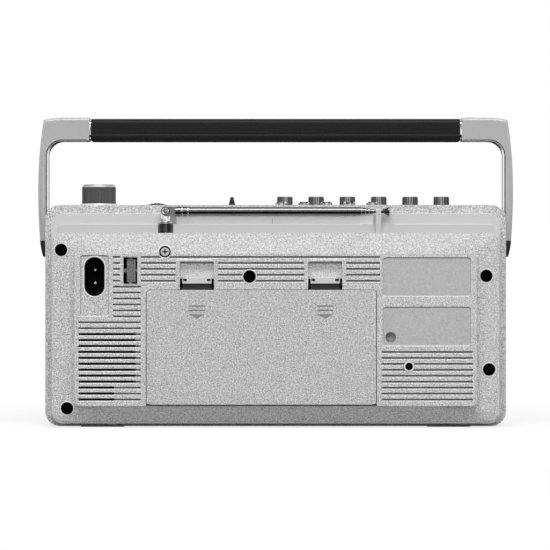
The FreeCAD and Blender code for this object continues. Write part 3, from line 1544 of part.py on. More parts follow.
def handle_hubs():
    """The black blocks at the foot of both arms, bored for the pivots."""
    hubs = Piece("handle_hubs")
    for side in ("", "-"):
        sign = "-" if side else ""
        points = [
            (f"{side}({arm_inner})", "hub_low"),
            (f"{side}({arm_inner} + arm_foot - hub_in)", "hub_low", f"{sign}hub_arc"),
            (f"{side}({arm_inner} + arm_foot + arm_flare)", "hub_top"),
            (f"{side}({arm_inner})", "hub_top"),
        ]
        hubs.pad(hubs.outline("XZ", handle_back, points), "arm_depth")
    hubs.dress("Fillet", "hub_round", lambda edge: edge.BoundBox.XLength > 1
               and lies_at(2, "hub_low")(edge) and edge.BoundBox.YLength < 1e-4)
    for side in ("", "-"):
        ends = (f"({arm_inner} - 1)", f"({arm_inner} + hub_bore)")
        ends = ends if not side else (f"-{ends[1]}", f"-{ends[0]}")
        hubs.rod("X", "pivot_along", "pivot_high", *ends, "pivot_radius + pin_gap", cut=True)
    return hubs


def handle_pivots():
    """The two steel pins pressed into the front shell."""
    pins = Piece("handle_pivots")
    for side in ("", "-"):
        ends = (f"({half_width} - pivot_long + pin_end_gap)", f"({arm_inner} + hub_bore - pin_end_gap)")
        ends = ends if not side else (f"-{ends[1]}", f"-{ends[0]}")
        pins.rod("X", "pivot_along", "pivot_high", *ends, "pivot_radius")
    return pins


def grip_outline(piece, offset, inset="0"):
    """The grip's rounded section, in a plane across its length."""
    half = f"(grip_depth / 2 - {inset})"
    return piece.rounded("YZ", offset, f"pivot_along - {half}", f"pivot_along + {half}",
                         f"grip_under + {inset}", f"grip_top - {inset}", "grip_corner")


def handle_grip():
    """The black hand grip between the two ferrules."""
    grip = Piece("handle_grip")
    grip.pad(grip_outline(grip, "0"), "grip_half * 2", middle=True)
    grip.dress("Fillet", "grip_round", lambda edge: edge.BoundBox.XLength < 1e-4)
    for side in ("", "-"):
        across = f"{side}grip_screw_across"
        grip.rod("Z", across, "pivot_along", "grip_under - 1", "grip_under + grip_screw_deep",
                 "screw_head + elbow_gap", cut=True)
    return grip


def handle_ferrules():
    """The bright rings between the grip and the arms."""
    rings = Piece("handle_ferrules")
    rings.pad(grip_outline(rings, "grip_half", "ferrule_inset"), "ferrule_wide / 2")
    rings.pad(grip_outline(rings, "-grip_half - ferrule_wide / 2", "ferrule_inset"), "ferrule_wide / 2")
    return rings


def handle_screws():
    """The two screws in the underside of the grip."""
    screws = Piece("handle_screws")
    for side in ("", "-"):
        across = f"{side}grip_screw_across"
        screws.rod("Z", across, "pivot_along", "grip_under + grip_screw_seat",
                   "grip_under + grip_screw_deep", "screw_head")
        screws.block(f"{across} - slot_wide / 2", f"{across} + slot_wide / 2",
                     "pivot_along - slot_long / 2", "pivot_along + slot_long / 2", "grip_under",
                     "grip_under + grip_screw_seat + slot_deep", cut=True)
    return screws


# Controls on the top deck ---------------------------------------------------------------


def volume_knob():
    """A fluted knob with a skirt and a chamfered cap, on a shaft that reaches the board."""
    knob = Piece("volume_knob")
    low = "(case_top + fit_gap)"
    points = [
        ("0", low), ("knob_skirt", low), ("knob_skirt", f"{low} + knob_skirt_tall"),
        ("knob_radius", f"{low} + knob_skirt_tall"), ("knob_radius", "knob_top - knob_cap"),
        ("knob_radius - knob_chamfer", "knob_top"), ("0", "knob_top"),
    ]
    knob.turned(knob.outline("XZ", "0", points), "V_Axis")
    flute = knob.rod("Z", "knob_radius + knob_flute_out", "0", f"{low} + knob_skirt_tall",
                     "knob_top - knob_cap", "knob_flute", cut=True)
    knob.ring(flute, SIZES["knob_flutes"])
    knob.rod("Z", "0", "0", f"{board_top} + pot_tall - pot_bore + pin_end_gap", f"{low} + 1", "knob_shaft")
    return knob.place("knob_across", "knob_along", "0")


def tuning_wheel():
    """The edge-operated tuning wheel with a knurled rim, on a shaft into the capacitor."""
    wheel = Piece("tuning_wheel")
    wheel.rod("Z", "0", "0", "0", "wheel_thick", "wheel_radius")
    notch = wheel.rod("Z", "wheel_radius + wheel_notch_out", "0", "-1", "wheel_thick + 1", "wheel_notch",
                      cut=True)
    wheel.ring(notch, SIZES["wheel_notches"])
    wheel.rod("Z", "0", "0", "wheel_thick - 1", "wheel_thick + wheel_shaft", "knob_shaft")
    wheel.body.Placement = Placement(Vector(), Rotation(Vector(1, 0, 0), -90))
    return wheel.place("wheel_across", "wheel_front", wheel_high)


def dial_pointer():
    """The pointer behind the dial window, with a foot through the slot and a cord carriage."""
    pointer = Piece("dial_pointer")
    half = "pointer_width / 2"
    low, behind = "dial_low + pointer_low", "dial_floor + dial_floor_thick"
    pointer.block(f"-{half}", half, "dial_floor - pointer_proud - pointer_thick",
                  "dial_floor - pointer_proud", low, "dial_high - pointer_low")
    pointer.block(f"-{half}", half, "dial_floor - pointer_proud - 0.2", f"{behind} + 1", low,
                  f"{low} + pointer_foot")
    pointer.block("-carriage_wide / 2", "carriage_wide / 2", f"{behind} + fit_gap",
                  f"{behind} + fit_gap + carriage_thick", "dial_low - carriage_drop",
                  "dial_low + carriage_rise")
    return pointer.place("pointer_home", "0", "0")


def function_switch():
    """A black tapered fin on a slider."""
    lever = Piece("function_switch")
    half = "slide_width / 2"
    top = "case_top + slide_tall"
    points = [
        (f"-{half}", f"{deck_inside} - 1"), (half, f"{deck_inside} - 1"), (half, "case_top + 1"),
        ("slide_width / 5", top), ("-slide_width / 5", top), (f"-{half}", "case_top + 1"),
    ]
    lever.pad(lever.outline("XZ", "slide_thick / 2", points), "slide_thick")
    lever.dress("Fillet", "slide_round", lies_at(2, top))
    plate = f"({deck_inside} - slide_plate_gap)"
    lever.block("-slide_plate_wide / 2", "slide_plate_wide / 2", "-slide_plate_deep / 2",
                "slide_plate_deep / 2", f"{plate} - slide_plate_thick", plate)
    return lever.place("slide_across", "slide_along", "0")


def key(index):
    """A chromed piano key with a sloped front, and a stem that goes down into the case."""
    piece = Piece(KEYS[index] + "_key")
    top = "case_top + key_tall"
    half = "key_deep / 2"
    points = [
        (f"-{half}", f"{deck_inside} - key_travel - 1"), (f"-{half}", "case_top + key_tall * key_front"),
        (f"-{half} + key_slope", top), (half, "case_top + key_tall * key_rear"),
        (half, f"{deck_inside} - key_travel - 1"),
    ]
    piece.pad(piece.outline("YZ", "0", points), "key_width", middle=True)
    piece.dress("Fillet", "key_round", lambda edge: edge.BoundBox.XLength < 1e-4)
    piece.block("-key_stem_wide / 2", "key_stem_wide / 2", "-key_stem_deep / 2", "key_stem_deep / 2",
                f"{board_top} + key_stem_low", f"{deck_inside} - key_travel")
    return piece.place(key_across(index), "key_along", "0")


def button(index):
    """A small round chromed button on a stem."""
    piece = Piece(f"selector_button_{index + 1}")
    top = "case_top + button_tall"
    piece.rod("Z", "0", "0", f"{deck_inside} - button_skirt", top, "button_radius")
    piece.dress("Chamfer", "button_tall / 3", lies_at(2, top))
    piece.rod("Z", "0", "0", f"{board_top} + button_stem_low", f"{deck_inside} - button_skirt + 1",
              "button_radius / 2")
    return piece.place(button_across(index), "button_along", "0")


def main_board():
    """The circuit board under the deck, with the parts that the controls work on."""
    board = Piece("main_board")
    board.block("board_right", "board_left", "board_front", "board_back", "board_high", board_top)
    half = "pot_size / 2"
    board.block(f"knob_across - {half}", f"knob_across + {half}", f"knob_along - {half}",
                f"knob_along + {half}", board_top, f"{board_top} + pot_tall")
    board.rod("Z", "knob_across", "knob_along", f"{board_top} + pot_tall - pot_bore",
              f"{board_top} + pot_tall + 1", "knob_shaft + pin_gap", cut=True)
    half = "capacitor_size / 2"
    board.block(f"wheel_across - {half}", f"wheel_across + {half}", "board_front",
                "board_front + capacitor_deep", board_top, f"{wheel_high} + capacitor_rise")
    board.rod("Y", "wheel_across", wheel_high, "board_front - 1", "board_front + capacitor_bore",
              "knob_shaft + pin_gap", cut=True)
    board.block("slide_across - slide_body_wide / 2", "slide_across + slide_body_wide / 2",
                "slide_along - slide_plate_deep / 2", "slide_along + slide_plate_deep / 2", board_top,
                f"{deck_inside} - slide_plate_gap * 2 - slide_plate_thick")
    for index in range(BUTTONS):
        across = button_across(index)
        board.block(f"{across} - selector_wide / 2", f"{across} + selector_wide / 2",
                    "board_back - selector_wide", "board_back", board_top, f"{board_top} + selector_tall")
    return board


def dial_window():
    """The clear window over the dial."""
    window = Piece("dial_window")
    lap = "(dial_window_lap - fit_gap / 2)"
    window.block(f"dial_right - {lap}", f"dial_left + {lap}", front_face,
                 f"{front_face} + dial_window_thick", f"dial_low - {lap}", f"dial_high + {lap}")
    return window


# The cassette bay -----------------------------------------------------------------------


def cassette_door():
    """The lid of the cassette bay, with a window and the holder that carries the cassette."""
    door = Piece("cassette_door")
    half = "tape_door_width / 2"
    left, right = f"tape_across + {half}", f"tape_across - {half}"
    low, high = "tape_door_low", "(tape_door_low + tape_door_tall)"
    back = f"{front_face} + tape_door_thick"
    shelf = f"({low} + tape_hinge_in)"
    door.block(right, left, front_face, back, low, high)
    door.dress("Fillet", "tape_hinge_in",
               lambda edge: lies_at(1, front_face)(edge) and lies_at(2, low)(edge))
    for ends in ((f"{right} + 1", f"{right} + 1 + cheek_thick"),
                 (f"{left} - 1 - cheek_thick", f"{left} - 1")):
        door.block(*ends, f"{front_face} + 1", f"{back} + cheek_deep", shelf, f"{high} - tape_cheek_drop")
    door.block(f"{right} + 1", f"{left} - 1", f"{front_face} + 1", f"{back} + cheek_deep", shelf,
               f"{shelf} + tape_shelf")
    door.rod("X", f"{front_face} + tape_hinge_in", shelf, f"{right} - tape_pin_long",
             f"{left} + tape_pin_long", "tape_pin")
    across, drop = "(pane_wide / 2 + pane_gap)", "(pane_drop - pane_gap)"
    door.block(f"tape_across - {across}", f"tape_across + {across}", f"{front_face} - 1",
               f"{front_face} + pane_thick", f"{low} + {drop}", f"{high} - {drop}", cut=True)
    door.block(f"tape_across - {across} + pane_lap", f"tape_across + {across} - pane_lap",
               f"{front_face} - 1", f"{back} + 1", f"{low} + {drop} + pane_lap",
               f"{high} - {drop} - pane_lap", cut=True)
    return door


def cassette_window():
    """The clear pane in the cassette door."""
    pane = Piece("cassette_window")
    pane.block("tape_across - pane_wide / 2", "tape_across + pane_wide / 2", front_face,
               f"{front_face} + pane_thick", "tape_door_low + pane_drop",
               "tape_door_low + tape_door_tall - pane_drop")
    return pane


def tape_deck():
    """The chassis plate with its bearings, the roller's pin and the two pins that guide the cassette."""
    deck = Piece("tape_deck")
    half = "(tape_door_width / 2 + deck_margin)"
    low, high = "(tape_door_low - deck_drop)", "(tape_door_low + tape_door_tall)"
    back = "deck_front + deck_thick"
    deck.block(f"tape_across - {half}", f"tape_across + {half}", "deck_front", back, low, high)
    through = ("deck_front - 1", f"{back} + 1")
    for side in ("-", "+"):
        deck.rod("Y", f"tape_across {side} spindle_apart / 2", "spindle_high", *through,
                 "reel_shaft + pin_gap", cut=True)
    deck.rod("Y", "capstan_across", "capstan_high", *through, "capstan_radius + pin_gap", cut=True)
    deck.rod("Y", "motor_across", "motor_high", *through, "pulley_radius + pulley_room", cut=True)
    deck.rod("Y", "capstan_across", roller_high, "deck_front - roller_pin_long", back, "roller_pin")
    for side in ("-", "+"):
        deck.rod("Y", f"tape_across {side} deck_pin_reach", "tape_door_low + deck_pin_rise",
                 "deck_front - deck_pin_long", "deck_front + deck_thick / 2", "deck_pin")
    return deck


roller_high = "(capstan_high + capstan_radius + roller_radius + roller_gap)"


def tape_head():
    """The magnetic head on its bracket at the top of the bay."""
    head = Piece("tape_head")
    high = "(tape_door_low + tape_door_tall)"
    head.block("tape_across - head_wide / 2", "tape_across + head_wide / 2", "deck_front - head_deep",
               "deck_front - head_bracket", f"{high} - head_low", f"{high} - head_top")
    head.dress("Fillet", "head_round",
               lambda edge: lies_at(2, f"{high} - head_low")(edge) and edge.BoundBox.YLength > 1)
    head.block("tape_across - head_wide", "tape_across + head_wide", "deck_front - head_bracket",
               "deck_front", f"{high} - head_bracket_low", f"{high} - head_top")
    return head


def pinch_roller():
    """The rubber roller beside the capstan."""
    roller = Piece("pinch_roller")
    roller.rod("Y", "capstan_across", roller_high, "deck_front - roller_long - door_gap",
               "deck_front - door_gap", "roller_radius")
    roller.rod("Y", "capstan_across", roller_high, "deck_front - shaft_reach", "deck_front + 1",
               "roller_pin + pin_gap", cut=True)
    return roller


def capstan():
    """The capstan shaft with its flywheel behind the chassis."""
    piece = Piece("capstan")
    piece.rod("Y", "capstan_across", "capstan_high", "deck_front - shaft_reach",
              "flywheel_front + 1", "capstan_radius")
    piece.rod("Y", "capstan_across", "capstan_high", "flywheel_front", "flywheel_front + flywheel_thick",
              "flywheel_radius")
    groove = "(flywheel_front + flywheel_thick / 2)"
    tool = Piece("belt_groove")
    tool.rod("Y", "capstan_across", "capstan_high", f"{groove} - groove_half",
             f"{groove} + groove_half", "flywheel_radius + 1")
    tool.rod("Y", "capstan_across", "capstan_high", f"{groove} - 2", f"{groove} + 2",
             "flywheel_radius - belt_thick", cut=True)
    piece.combine("Cut", tool)
    return piece


def reel(name, side):
    """A reel table with a splined hub that drives the cassette."""
    piece = Piece(name)
    across = f"tape_across {side} spindle_apart / 2"
    table = "deck_front - reel_gap"
    piece.rod("Y", across, "spindle_high", f"{table} - reel_thick", table, "reel_table")
    piece.rod("Y", across, "spindle_high", "deck_front - reel_long", "deck_front - 1",
              "spindle_radius - spline_proud")
    piece.rod("Y", across, "spindle_high", "deck_front - 1", "deck_front + deck_thick + 1", "reel_shaft")
    for wide, tall in (("spindle_radius", "spline_thick / 2"), ("spline_thick / 2", "spindle_radius")):
        piece.block(f"{across} - {wide}", f"{across} + {wide}", "deck_front - reel_long + 1",
                    "deck_front - 1", f"spindle_high - {tall}", f"spindle_high + {tall}")
    return piece


def drive_motor():
    """The motor behind the chassis, held by its two posts."""
    motor = Piece("drive_motor")
    back = "(deck_front + deck_thick)"
    face = f"({back} + motor_gap)"
    motor.rod("Y", "motor_across", "motor_high", face, f"{face} + motor_long", "motor_radius")
    motor.dress("Fillet", "motor_round", lies_at(1, f"{face} + motor_long"))
    motor.rod("Y", "motor_across", "motor_high", f"{face} - 1", f"{face} + motor_bore",
              "pulley_shaft + pin_gap", cut=True)
    for side in ("-", "+"):
        motor.rod("Y", "motor_across", f"motor_high {side} motor_post_apart / 2", back, f"{face} + 1",
                  "motor_post")
    return motor


def motor_pulley():
    """The grooved pulley on the motor's shaft."""
    pulley = Piece("motor_pulley")
    centre = ("motor_across", "motor_high")
    middle = "(flywheel_front + flywheel_thick / 2)"
    pulley.rod("Y", *centre, f"{middle} - pulley_half", f"{middle} + pulley_half", "pulley_radius")
    pulley.rod("Y", *centre, f"{middle} + 1", "deck_front + deck_thick + motor_gap + motor_bore - 1",
               "pulley_shaft")
    tool = Piece("pulley_groove")
    tool.rod("Y", *centre, f"{middle} - groove_half", f"{middle} + groove_half", "pulley_radius + 1")
    tool.rod("Y", *centre, f"{middle} - 2", f"{middle} + 2", "pulley_radius - belt_thick", cut=True)
    pulley.combine("Cut", tool)
    return pulley


def drive_belt():
    """The square belt round the motor's pulley and the flywheel: arcs and tangent runs."""
    belt = doc.addObject("Part::Feature", "drive_belt")
    belt.Label = "drive_belt"
    wide, slack = size("belt_thick"), size("belt_slack")
    front = size("flywheel_front + flywheel_thick / 2") - wide / 2
    small = Vector(size("motor_across"), front, size("motor_high"))
    large = Vector(size("capstan_across"), front, size("capstan_high"))
    radii = size("pulley_radius - belt_thick") + slack, size("flywheel_radius - belt_thick") + slack
    loops = [belt_loop(small, large, radii[0] + more, radii[1] + more) for more in (0, wide - slack * 2)]
    faces = [Part.Face(loop) for loop in loops]
    belt.Shape = faces[1].cut(faces[0]).extrude(Vector(0, wide, 0))
    return belt


def belt_loop(small, large, first, second):
    """The closed line round two circles in a plane across Y."""
    along = (large - small).normalize()
    aside = Vector(along.z, 0, -along.x)
    lean = (second - first) / (large - small).Length
    rise = math.sqrt(1 - lean**2)
    left = aside * rise - along * lean
    right = aside * -rise - along * lean
    spots = [small + left * first, large + left * second, large + right * second, small + right * first]
    edges = [
        Part.LineSegment(spots[0], spots[1]).toShape(),
        Part.Arc(spots[1], large + along * second, spots[2]).toShape(),
        Part.LineSegment(spots[2], spots[3]).toShape(),
        Part.Arc(spots[3], small - along * first, spots[0]).toShape(),
    ]
    return Part.Wire(edges)


# The loudspeaker ------------------------------------------------------------------------


def speaker():
    """The loudspeaker: cone, frame and magnet turned about its own axis."""
    piece = Piece("speaker")
    face, radius = front_inside, "speaker_radius"
    points = [
        ("0", f"{face} + cone_deep"), ("cap_radius_front", f"{face} + cap_deep"),
        (f"{radius} - cone_edge", f"{face} + surround_in"),
        (f"{radius} - surround_edge", f"{face} + surround_rise", "-surround_arc"),
        (f"{radius} - surround_in", face), (radius, face), (radius, f"{face} + basket_thick"),
        (f"{radius} - surround_edge", f"{face} + basket_deep"),
        ("magnet_radius", f"{face} + speaker_deep - magnet_deep"),
        ("magnet_radius", f"{face} + speaker_deep"), ("0", f"{face} + speaker_deep"),
    ]
    piece.turned(piece.outline("XY", "0", points), "V_Axis")
    return piece.place("speaker_across", "0", "speaker_high")


def speaker_grille():
    """The slotted grille let into the front."""
    grille = Piece("speaker_grille")
    half = "grille_width / 2"
    grille.block(f"speaker_across - {half}", f"speaker_across + {half}", front_face,
                 f"{front_face} + grille_thick", "grille_low", "grille_high")
    tool = Piece("grille_tool")
    first = "((grille_low + grille_high) / 2 + grille_pitch * (grille_slots - 1) / 2)"
    slot = tool.block(f"speaker_across - {half} + grille_margin",
                      f"speaker_across + {half} - grille_margin", f"{front_face} - 1",
                      f"{front_face} + grille_thick + 1",
                      f"{first} - grille_slot / 2", f"{first} + grille_slot / 2")
    tool.repeat(slot, "Z", "-grille_pitch", SIZES["grille_slots"])
    grille.combine("Cut", tool)
    return grille


# Every sub-part, in the order of assembly -------------------------------------------------

PIECES = [
    rear_shell(), front_shell(), feet(), battery_box(), battery_contacts(), battery_door(),
    battery_latch("left", LATCHES["left"]), battery_latch("right", LATCHES["right"]),
    ac_inlet(), inlet_pins(), dc_jack(), transformer(), case_screws(),
    antenna_base(), antenna_root(), antenna_pin(), antenna_tip(), antenna_clip(),
    handle_arm("left", ""), handle_arm("right", "-"), handle_hubs(), handle_pivots(), handle_grip(),
    handle_ferrules(), handle_screws(),
    volume_knob(), tuning_wheel(), dial_pointer(), function_switch(), main_board(), dial_window(),
    cassette_door(), cassette_window(), tape_deck(), tape_head(), pinch_roller(), capstan(),
    reel("supply_reel", "-"), reel("take_up_reel", "+"), drive_motor(), motor_pulley(),
    speaker(), speaker_grille(),
]
PIECES += [antenna_tube(index) for index in range(1, TUBES + 1)]
PIECES += [key(index) for index in range(len(KEYS))]
PIECES += [button(index) for index in range(BUTTONS)]
SUB_PARTS = [piece.body for piece in PIECES] + [drive_belt()]

doc.recompute()
for item in doc.Objects:
    if "Invalid" in item.State or "Error" in item.State:
        raise ValueError(f"{item.Label}: {item.State}")
for part in SUB_PARTS:
    if part.Shape.isNull() or not part.Shape.isValid():
        raise ValueError(part.Label + " has no valid shape")

os.makedirs("parts", exist_ok=True)
for part in SUB_PARTS:
    part.Shape.exportStep(f"parts/{part.Label}.step")
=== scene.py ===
# %% [markdown]
# # A silver portable radio cassette player, seen from the back
#
# The packed model already holds every solid part at its real size. This lesson dresses it: each part gets
# a finish that is worked out by nodes, and the pieces that are too thin or too fine for solids are made
# here as surfaces worked out with numpy. The first cell loads the model as a fixed frame.

# %% Load the packed model
import json
import math

import bmesh
import bpy
import numpy as np
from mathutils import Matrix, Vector


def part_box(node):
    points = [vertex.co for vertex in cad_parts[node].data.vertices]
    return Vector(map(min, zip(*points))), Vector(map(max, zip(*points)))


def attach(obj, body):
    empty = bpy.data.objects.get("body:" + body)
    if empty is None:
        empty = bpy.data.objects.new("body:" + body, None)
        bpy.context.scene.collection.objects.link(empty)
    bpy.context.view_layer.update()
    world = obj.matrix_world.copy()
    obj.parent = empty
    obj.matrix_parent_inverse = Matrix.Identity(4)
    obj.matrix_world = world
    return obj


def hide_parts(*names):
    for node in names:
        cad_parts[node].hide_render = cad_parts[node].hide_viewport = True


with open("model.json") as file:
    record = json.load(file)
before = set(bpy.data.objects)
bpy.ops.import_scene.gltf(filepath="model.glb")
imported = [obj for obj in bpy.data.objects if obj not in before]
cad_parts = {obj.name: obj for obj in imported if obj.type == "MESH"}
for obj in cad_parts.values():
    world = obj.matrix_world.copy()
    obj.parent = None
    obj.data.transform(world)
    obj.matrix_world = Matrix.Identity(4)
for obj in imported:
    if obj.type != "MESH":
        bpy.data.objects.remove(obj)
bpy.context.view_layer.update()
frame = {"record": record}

MM = 0.001


# %% [markdown]
# ## Reading places from the model
#
# A position that is typed in is wrong as soon as the model changes, so a part's place is read from the
# model where its box can give it. Where one node holds several equal solids, such as the case screws,
# each loose island of its mesh gives one place. `islands` finds them by spreading the smallest vertex
# number along the edges until nothing changes, which is quick with whole arrays.

# %% Places of loose islands in a node


def islands(node):
    """The lowest and highest corner of each loose solid in a node, in metres."""
    mesh = bpy.data.objects[node].data
    points = np.empty(len(mesh.vertices) * 3)
    mesh.vertices.foreach_get("co", points)
    edges = np.empty(len(mesh.edges) * 2, dtype=np.int64)
    mesh.edges.foreach_get("vertices", edges)
    rounded, same = np.unique(np.round(points.reshape(-1, 3), 6), axis=0, return_inverse=True)
    edges = same.reshape(-1)[edges.reshape(-1, 2)]
    label = np.arange(len(rounded))
    while True:
        low = np.minimum(label[edges[:, 0]], label[edges[:, 1]])
        spread = label.copy()
        np.minimum.at(spread, edges[:, 0], low)
        np.minimum.at(spread, edges[:, 1], low)
        spread = spread[spread]
        if (spread == label).all():
            break
        label = spread
    groups = [rounded[label == name] for name in np.unique(label)]
    return [(group.min(axis=0), group.max(axis=0)) for group in groups]


def centre_of(node):
    """The middle of a node's box, in metres."""
    low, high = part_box(node)
    return [float(low[axis] + high[axis]) / 2 for axis in range(3)]


screw_centres = [(low + high) / 2 for low, high in islands("case_screws")]
print("screws", [tuple(np.round(centre / MM, 1)) for centre in screw_centres])


# %% [markdown]
# ## A small kit for finishes
#
# A finish could be built by hand in the shader editor, but dozens of them share the same steps, so a
# small class adds and joins the nodes. Each finish is a Principled shader with a few texture nodes.
# Object coordinates are used throughout: each part's object sits at the origin, so they are metres in the
# model's own frame, and a pattern keeps its scale from part to part. Greys are given as display levels
# from 0 to 255, because that is how paint is compared.

# %% Greys and nodes


def grey(level, warm=0.0):
    """The linear colour of a display grey from 0 to 255, a little warmer if asked."""
    share = level / 255
    linear = share / 12.92 if share <= 0.04045 else ((share + 0.055) / 1.055) ** 2.4
    return (linear * (1 + warm), linear, linear * (1 - warm), 1)


class Nodes:
    """A material under construction, with short ways to add and join its nodes."""

    def __init__(self, name, colour, roughness, metallic=0.0, **sockets):
        self.material = bpy.data.materials.new(name)
        self.material.use_nodes = True
        self.nodes = self.material.node_tree.nodes
        self.links = self.material.node_tree.links
        self.shader = self.nodes["Principled BSDF"]
        self.set(self.shader, {"Base Color": colour, "Roughness": roughness, "Metallic": metallic})
        self.set(self.shader, sockets)
        self.where = self.add("ShaderNodeTexCoord").outputs["Object"]

    def set(self, node, values):
        """Sets sockets by name or number: a socket is linked, a constant is set on the socket itself."""
        for name, value in values.items():
            if isinstance(value, bpy.types.NodeSocket):
                self.links.new(value, node.inputs[name])
            else:
                node.inputs[name].default_value = value

    def add(self, kind, values=None, **settings):
        """A new node with its settings and sockets."""
        node = self.nodes.new(kind)
        for name, value in settings.items():
            setattr(node, name, value)
        self.set(node, values or {})
        return node

    def maths(self, operation, *values):
        """One sum of numbers or sockets."""
        node = self.add("ShaderNodeMath", operation=operation)
        self.set(node, dict(enumerate(values)))
        return node.outputs[0]

    def stretched(self, across, along, up):
        """Object coordinates scaled per axis, for grain that runs one way."""
        node = self.add("ShaderNodeVectorMath", operation="MULTIPLY")
        self.set(node, {0: self.where, 1: (across, along, up)})
        return node.outputs[0]

    def axis(self, name):
        """One Object coordinate, in metres."""
        return self.add("ShaderNodeSeparateXYZ", {"Vector": self.where}).outputs[name]

    def noise(self, scale, detail=2.0, where=None, roughness=0.5):
        """A cloud from 0 to 1 whose lumps are one over the scale, in metres."""
        values = {"Vector": where or self.where, "Scale": scale, "Detail": detail, "Roughness": roughness}
        return self.add("ShaderNodeTexNoise", values).outputs["Fac"]

    def spread(self, value, low, high):
        """Carries 0..1 over to a new span."""
        return self.add("ShaderNodeMapRange", {"Value": value, "To Min": low, "To Max": high}).outputs[0]

    def blend(self, share, first, second):
        """The first colour where the share is 0, the second where it is 1."""
        node = self.add("ShaderNodeMix", data_type="RGBA")
        self.set(node, {"Factor": share, 6: first, 7: second})
        return node.outputs[2]


print("grey 128 is", round(grey(128)[0], 3), "in linear light")


# %% [markdown]
# ## Saying where on a part
#
# Paint changes from place to place: in a slot, round a screw, on a ledge. A place could be a painted
# mask, but that needs an unwrapped surface and a picture. A span of X, Y or Z needs neither and has exact
# edges, so each place here is a number from 0 to 1, worked out from the coordinates or from the way that
# the surface faces.

# %% Places as numbers


class Places(Nodes):
    """Numbers that say where on a part a point lies, most of them 1 in a place and 0 outside it."""

    def between(self, value, low, high, soft):
        """1 inside a span and 0 outside it, with soft ends."""
        ends = ((low - soft, low + soft), (high + soft, high - soft))
        rise, fall = (self.add("ShaderNodeMapRange", {"Value": value, "From Min": first, "From Max": last})
                      for first, last in ends)
        return self.maths("MULTIPLY", rise.outputs[0], fall.outputs[0])

    def away_from(self, centre):
        """The distance in X and Z from a line along Y through a centre."""
        reach = self.add("ShaderNodeVectorMath", operation="DISTANCE")
        self.set(reach, {0: self.stretched(1, 0, 1), 1: (centre[0], 0, centre[2])})
        return reach.outputs["Value"]

    def near_axis(self, centre, radius):
        """1 within a radius of a line along Y through a centre, and 0 outside it."""
        return self.maths("LESS_THAN", self.away_from(centre), radius)

    def inside_box(self, left, right, low, high, soft=0.0002):
        """1 within a rectangle of X and Z."""
        across = self.between(self.axis("X"), left, right, soft)
        return self.maths("MULTIPLY", across, self.between(self.axis("Z"), low, high, soft))

    def facing(self, name):
        """One axis of the surface's own normal, from -1 to 1."""
        turned = self.add("ShaderNodeTexCoord").outputs["Normal"]
        return self.add("ShaderNodeSeparateXYZ", {"Vector": turned}).outputs[name]


print("places:", [name for name in vars(Places) if not name.startswith("_")])


# %% [markdown]
# ## Relief and colour
#
# Grain, dents and slight curves are too fine for the mesh. Moving the surface itself would take millions
# of faces. A bump only bends the normals and looks the same at this size, so reliefs are bumps of a real
# depth, one after the other. `dress` then gives a finish to whole parts.

# %% Finish and dress


class Finish(Places):
    """A whole finish: its reliefs, its colour and its roughness."""

    height = None

    def relief(self, height, depth):
        """Bump of a real depth in metres; several reliefs add up in a chain."""
        values = {"Height": height, "Distance": depth, "Strength": 1.0}
        if self.height:
            values["Normal"] = self.height
        self.height = self.add("ShaderNodeBump", values).outputs[0]
        self.set(self.shader, {"Normal": self.height})

    def dish(self, centre, radius, depth):
        """Bends the normals inside a circle as a round bowl of that depth would."""
        values = {"Value": self.away_from(centre), "From Max": radius}
        share = self.add("ShaderNodeMapRange", values).outputs[0]
        self.relief(self.maths("MULTIPLY", share, share), depth)

    def barrel(self, centres, half, rise):
        """Bends the normals across X round each centre, as on a face that is slightly round."""
        nearest = None
        for centre in centres:
            apart = self.maths("ABSOLUTE", self.maths("SUBTRACT", self.axis("X"), centre))
            nearest = apart if nearest is None else self.maths("MINIMUM", nearest, apart)
        share = self.maths("DIVIDE", nearest, half)
        self.relief(self.maths("SUBTRACT", 1.0, self.maths("MULTIPLY", share, share)), rise)

    def colour(self, value):
        """Links a colour, or sets it."""
        self.set(self.shader, {"Base Color": value})

    def rough(self, value):
        """Links a roughness, or sets it."""
        self.set(self.shader, {"Roughness": value})


def dress(finish, *nodes):
    """Gives whole CAD nodes a finish by filling their material slots."""
    for node in nodes:
        piece = bpy.data.objects[node]
        if not piece.material_slots:
            piece.data.materials.append(finish.material)
        for slot in piece.material_slots:
            slot.material = finish.material


print("finish:", [name for name in vars(Finish) if not name.startswith("_")])
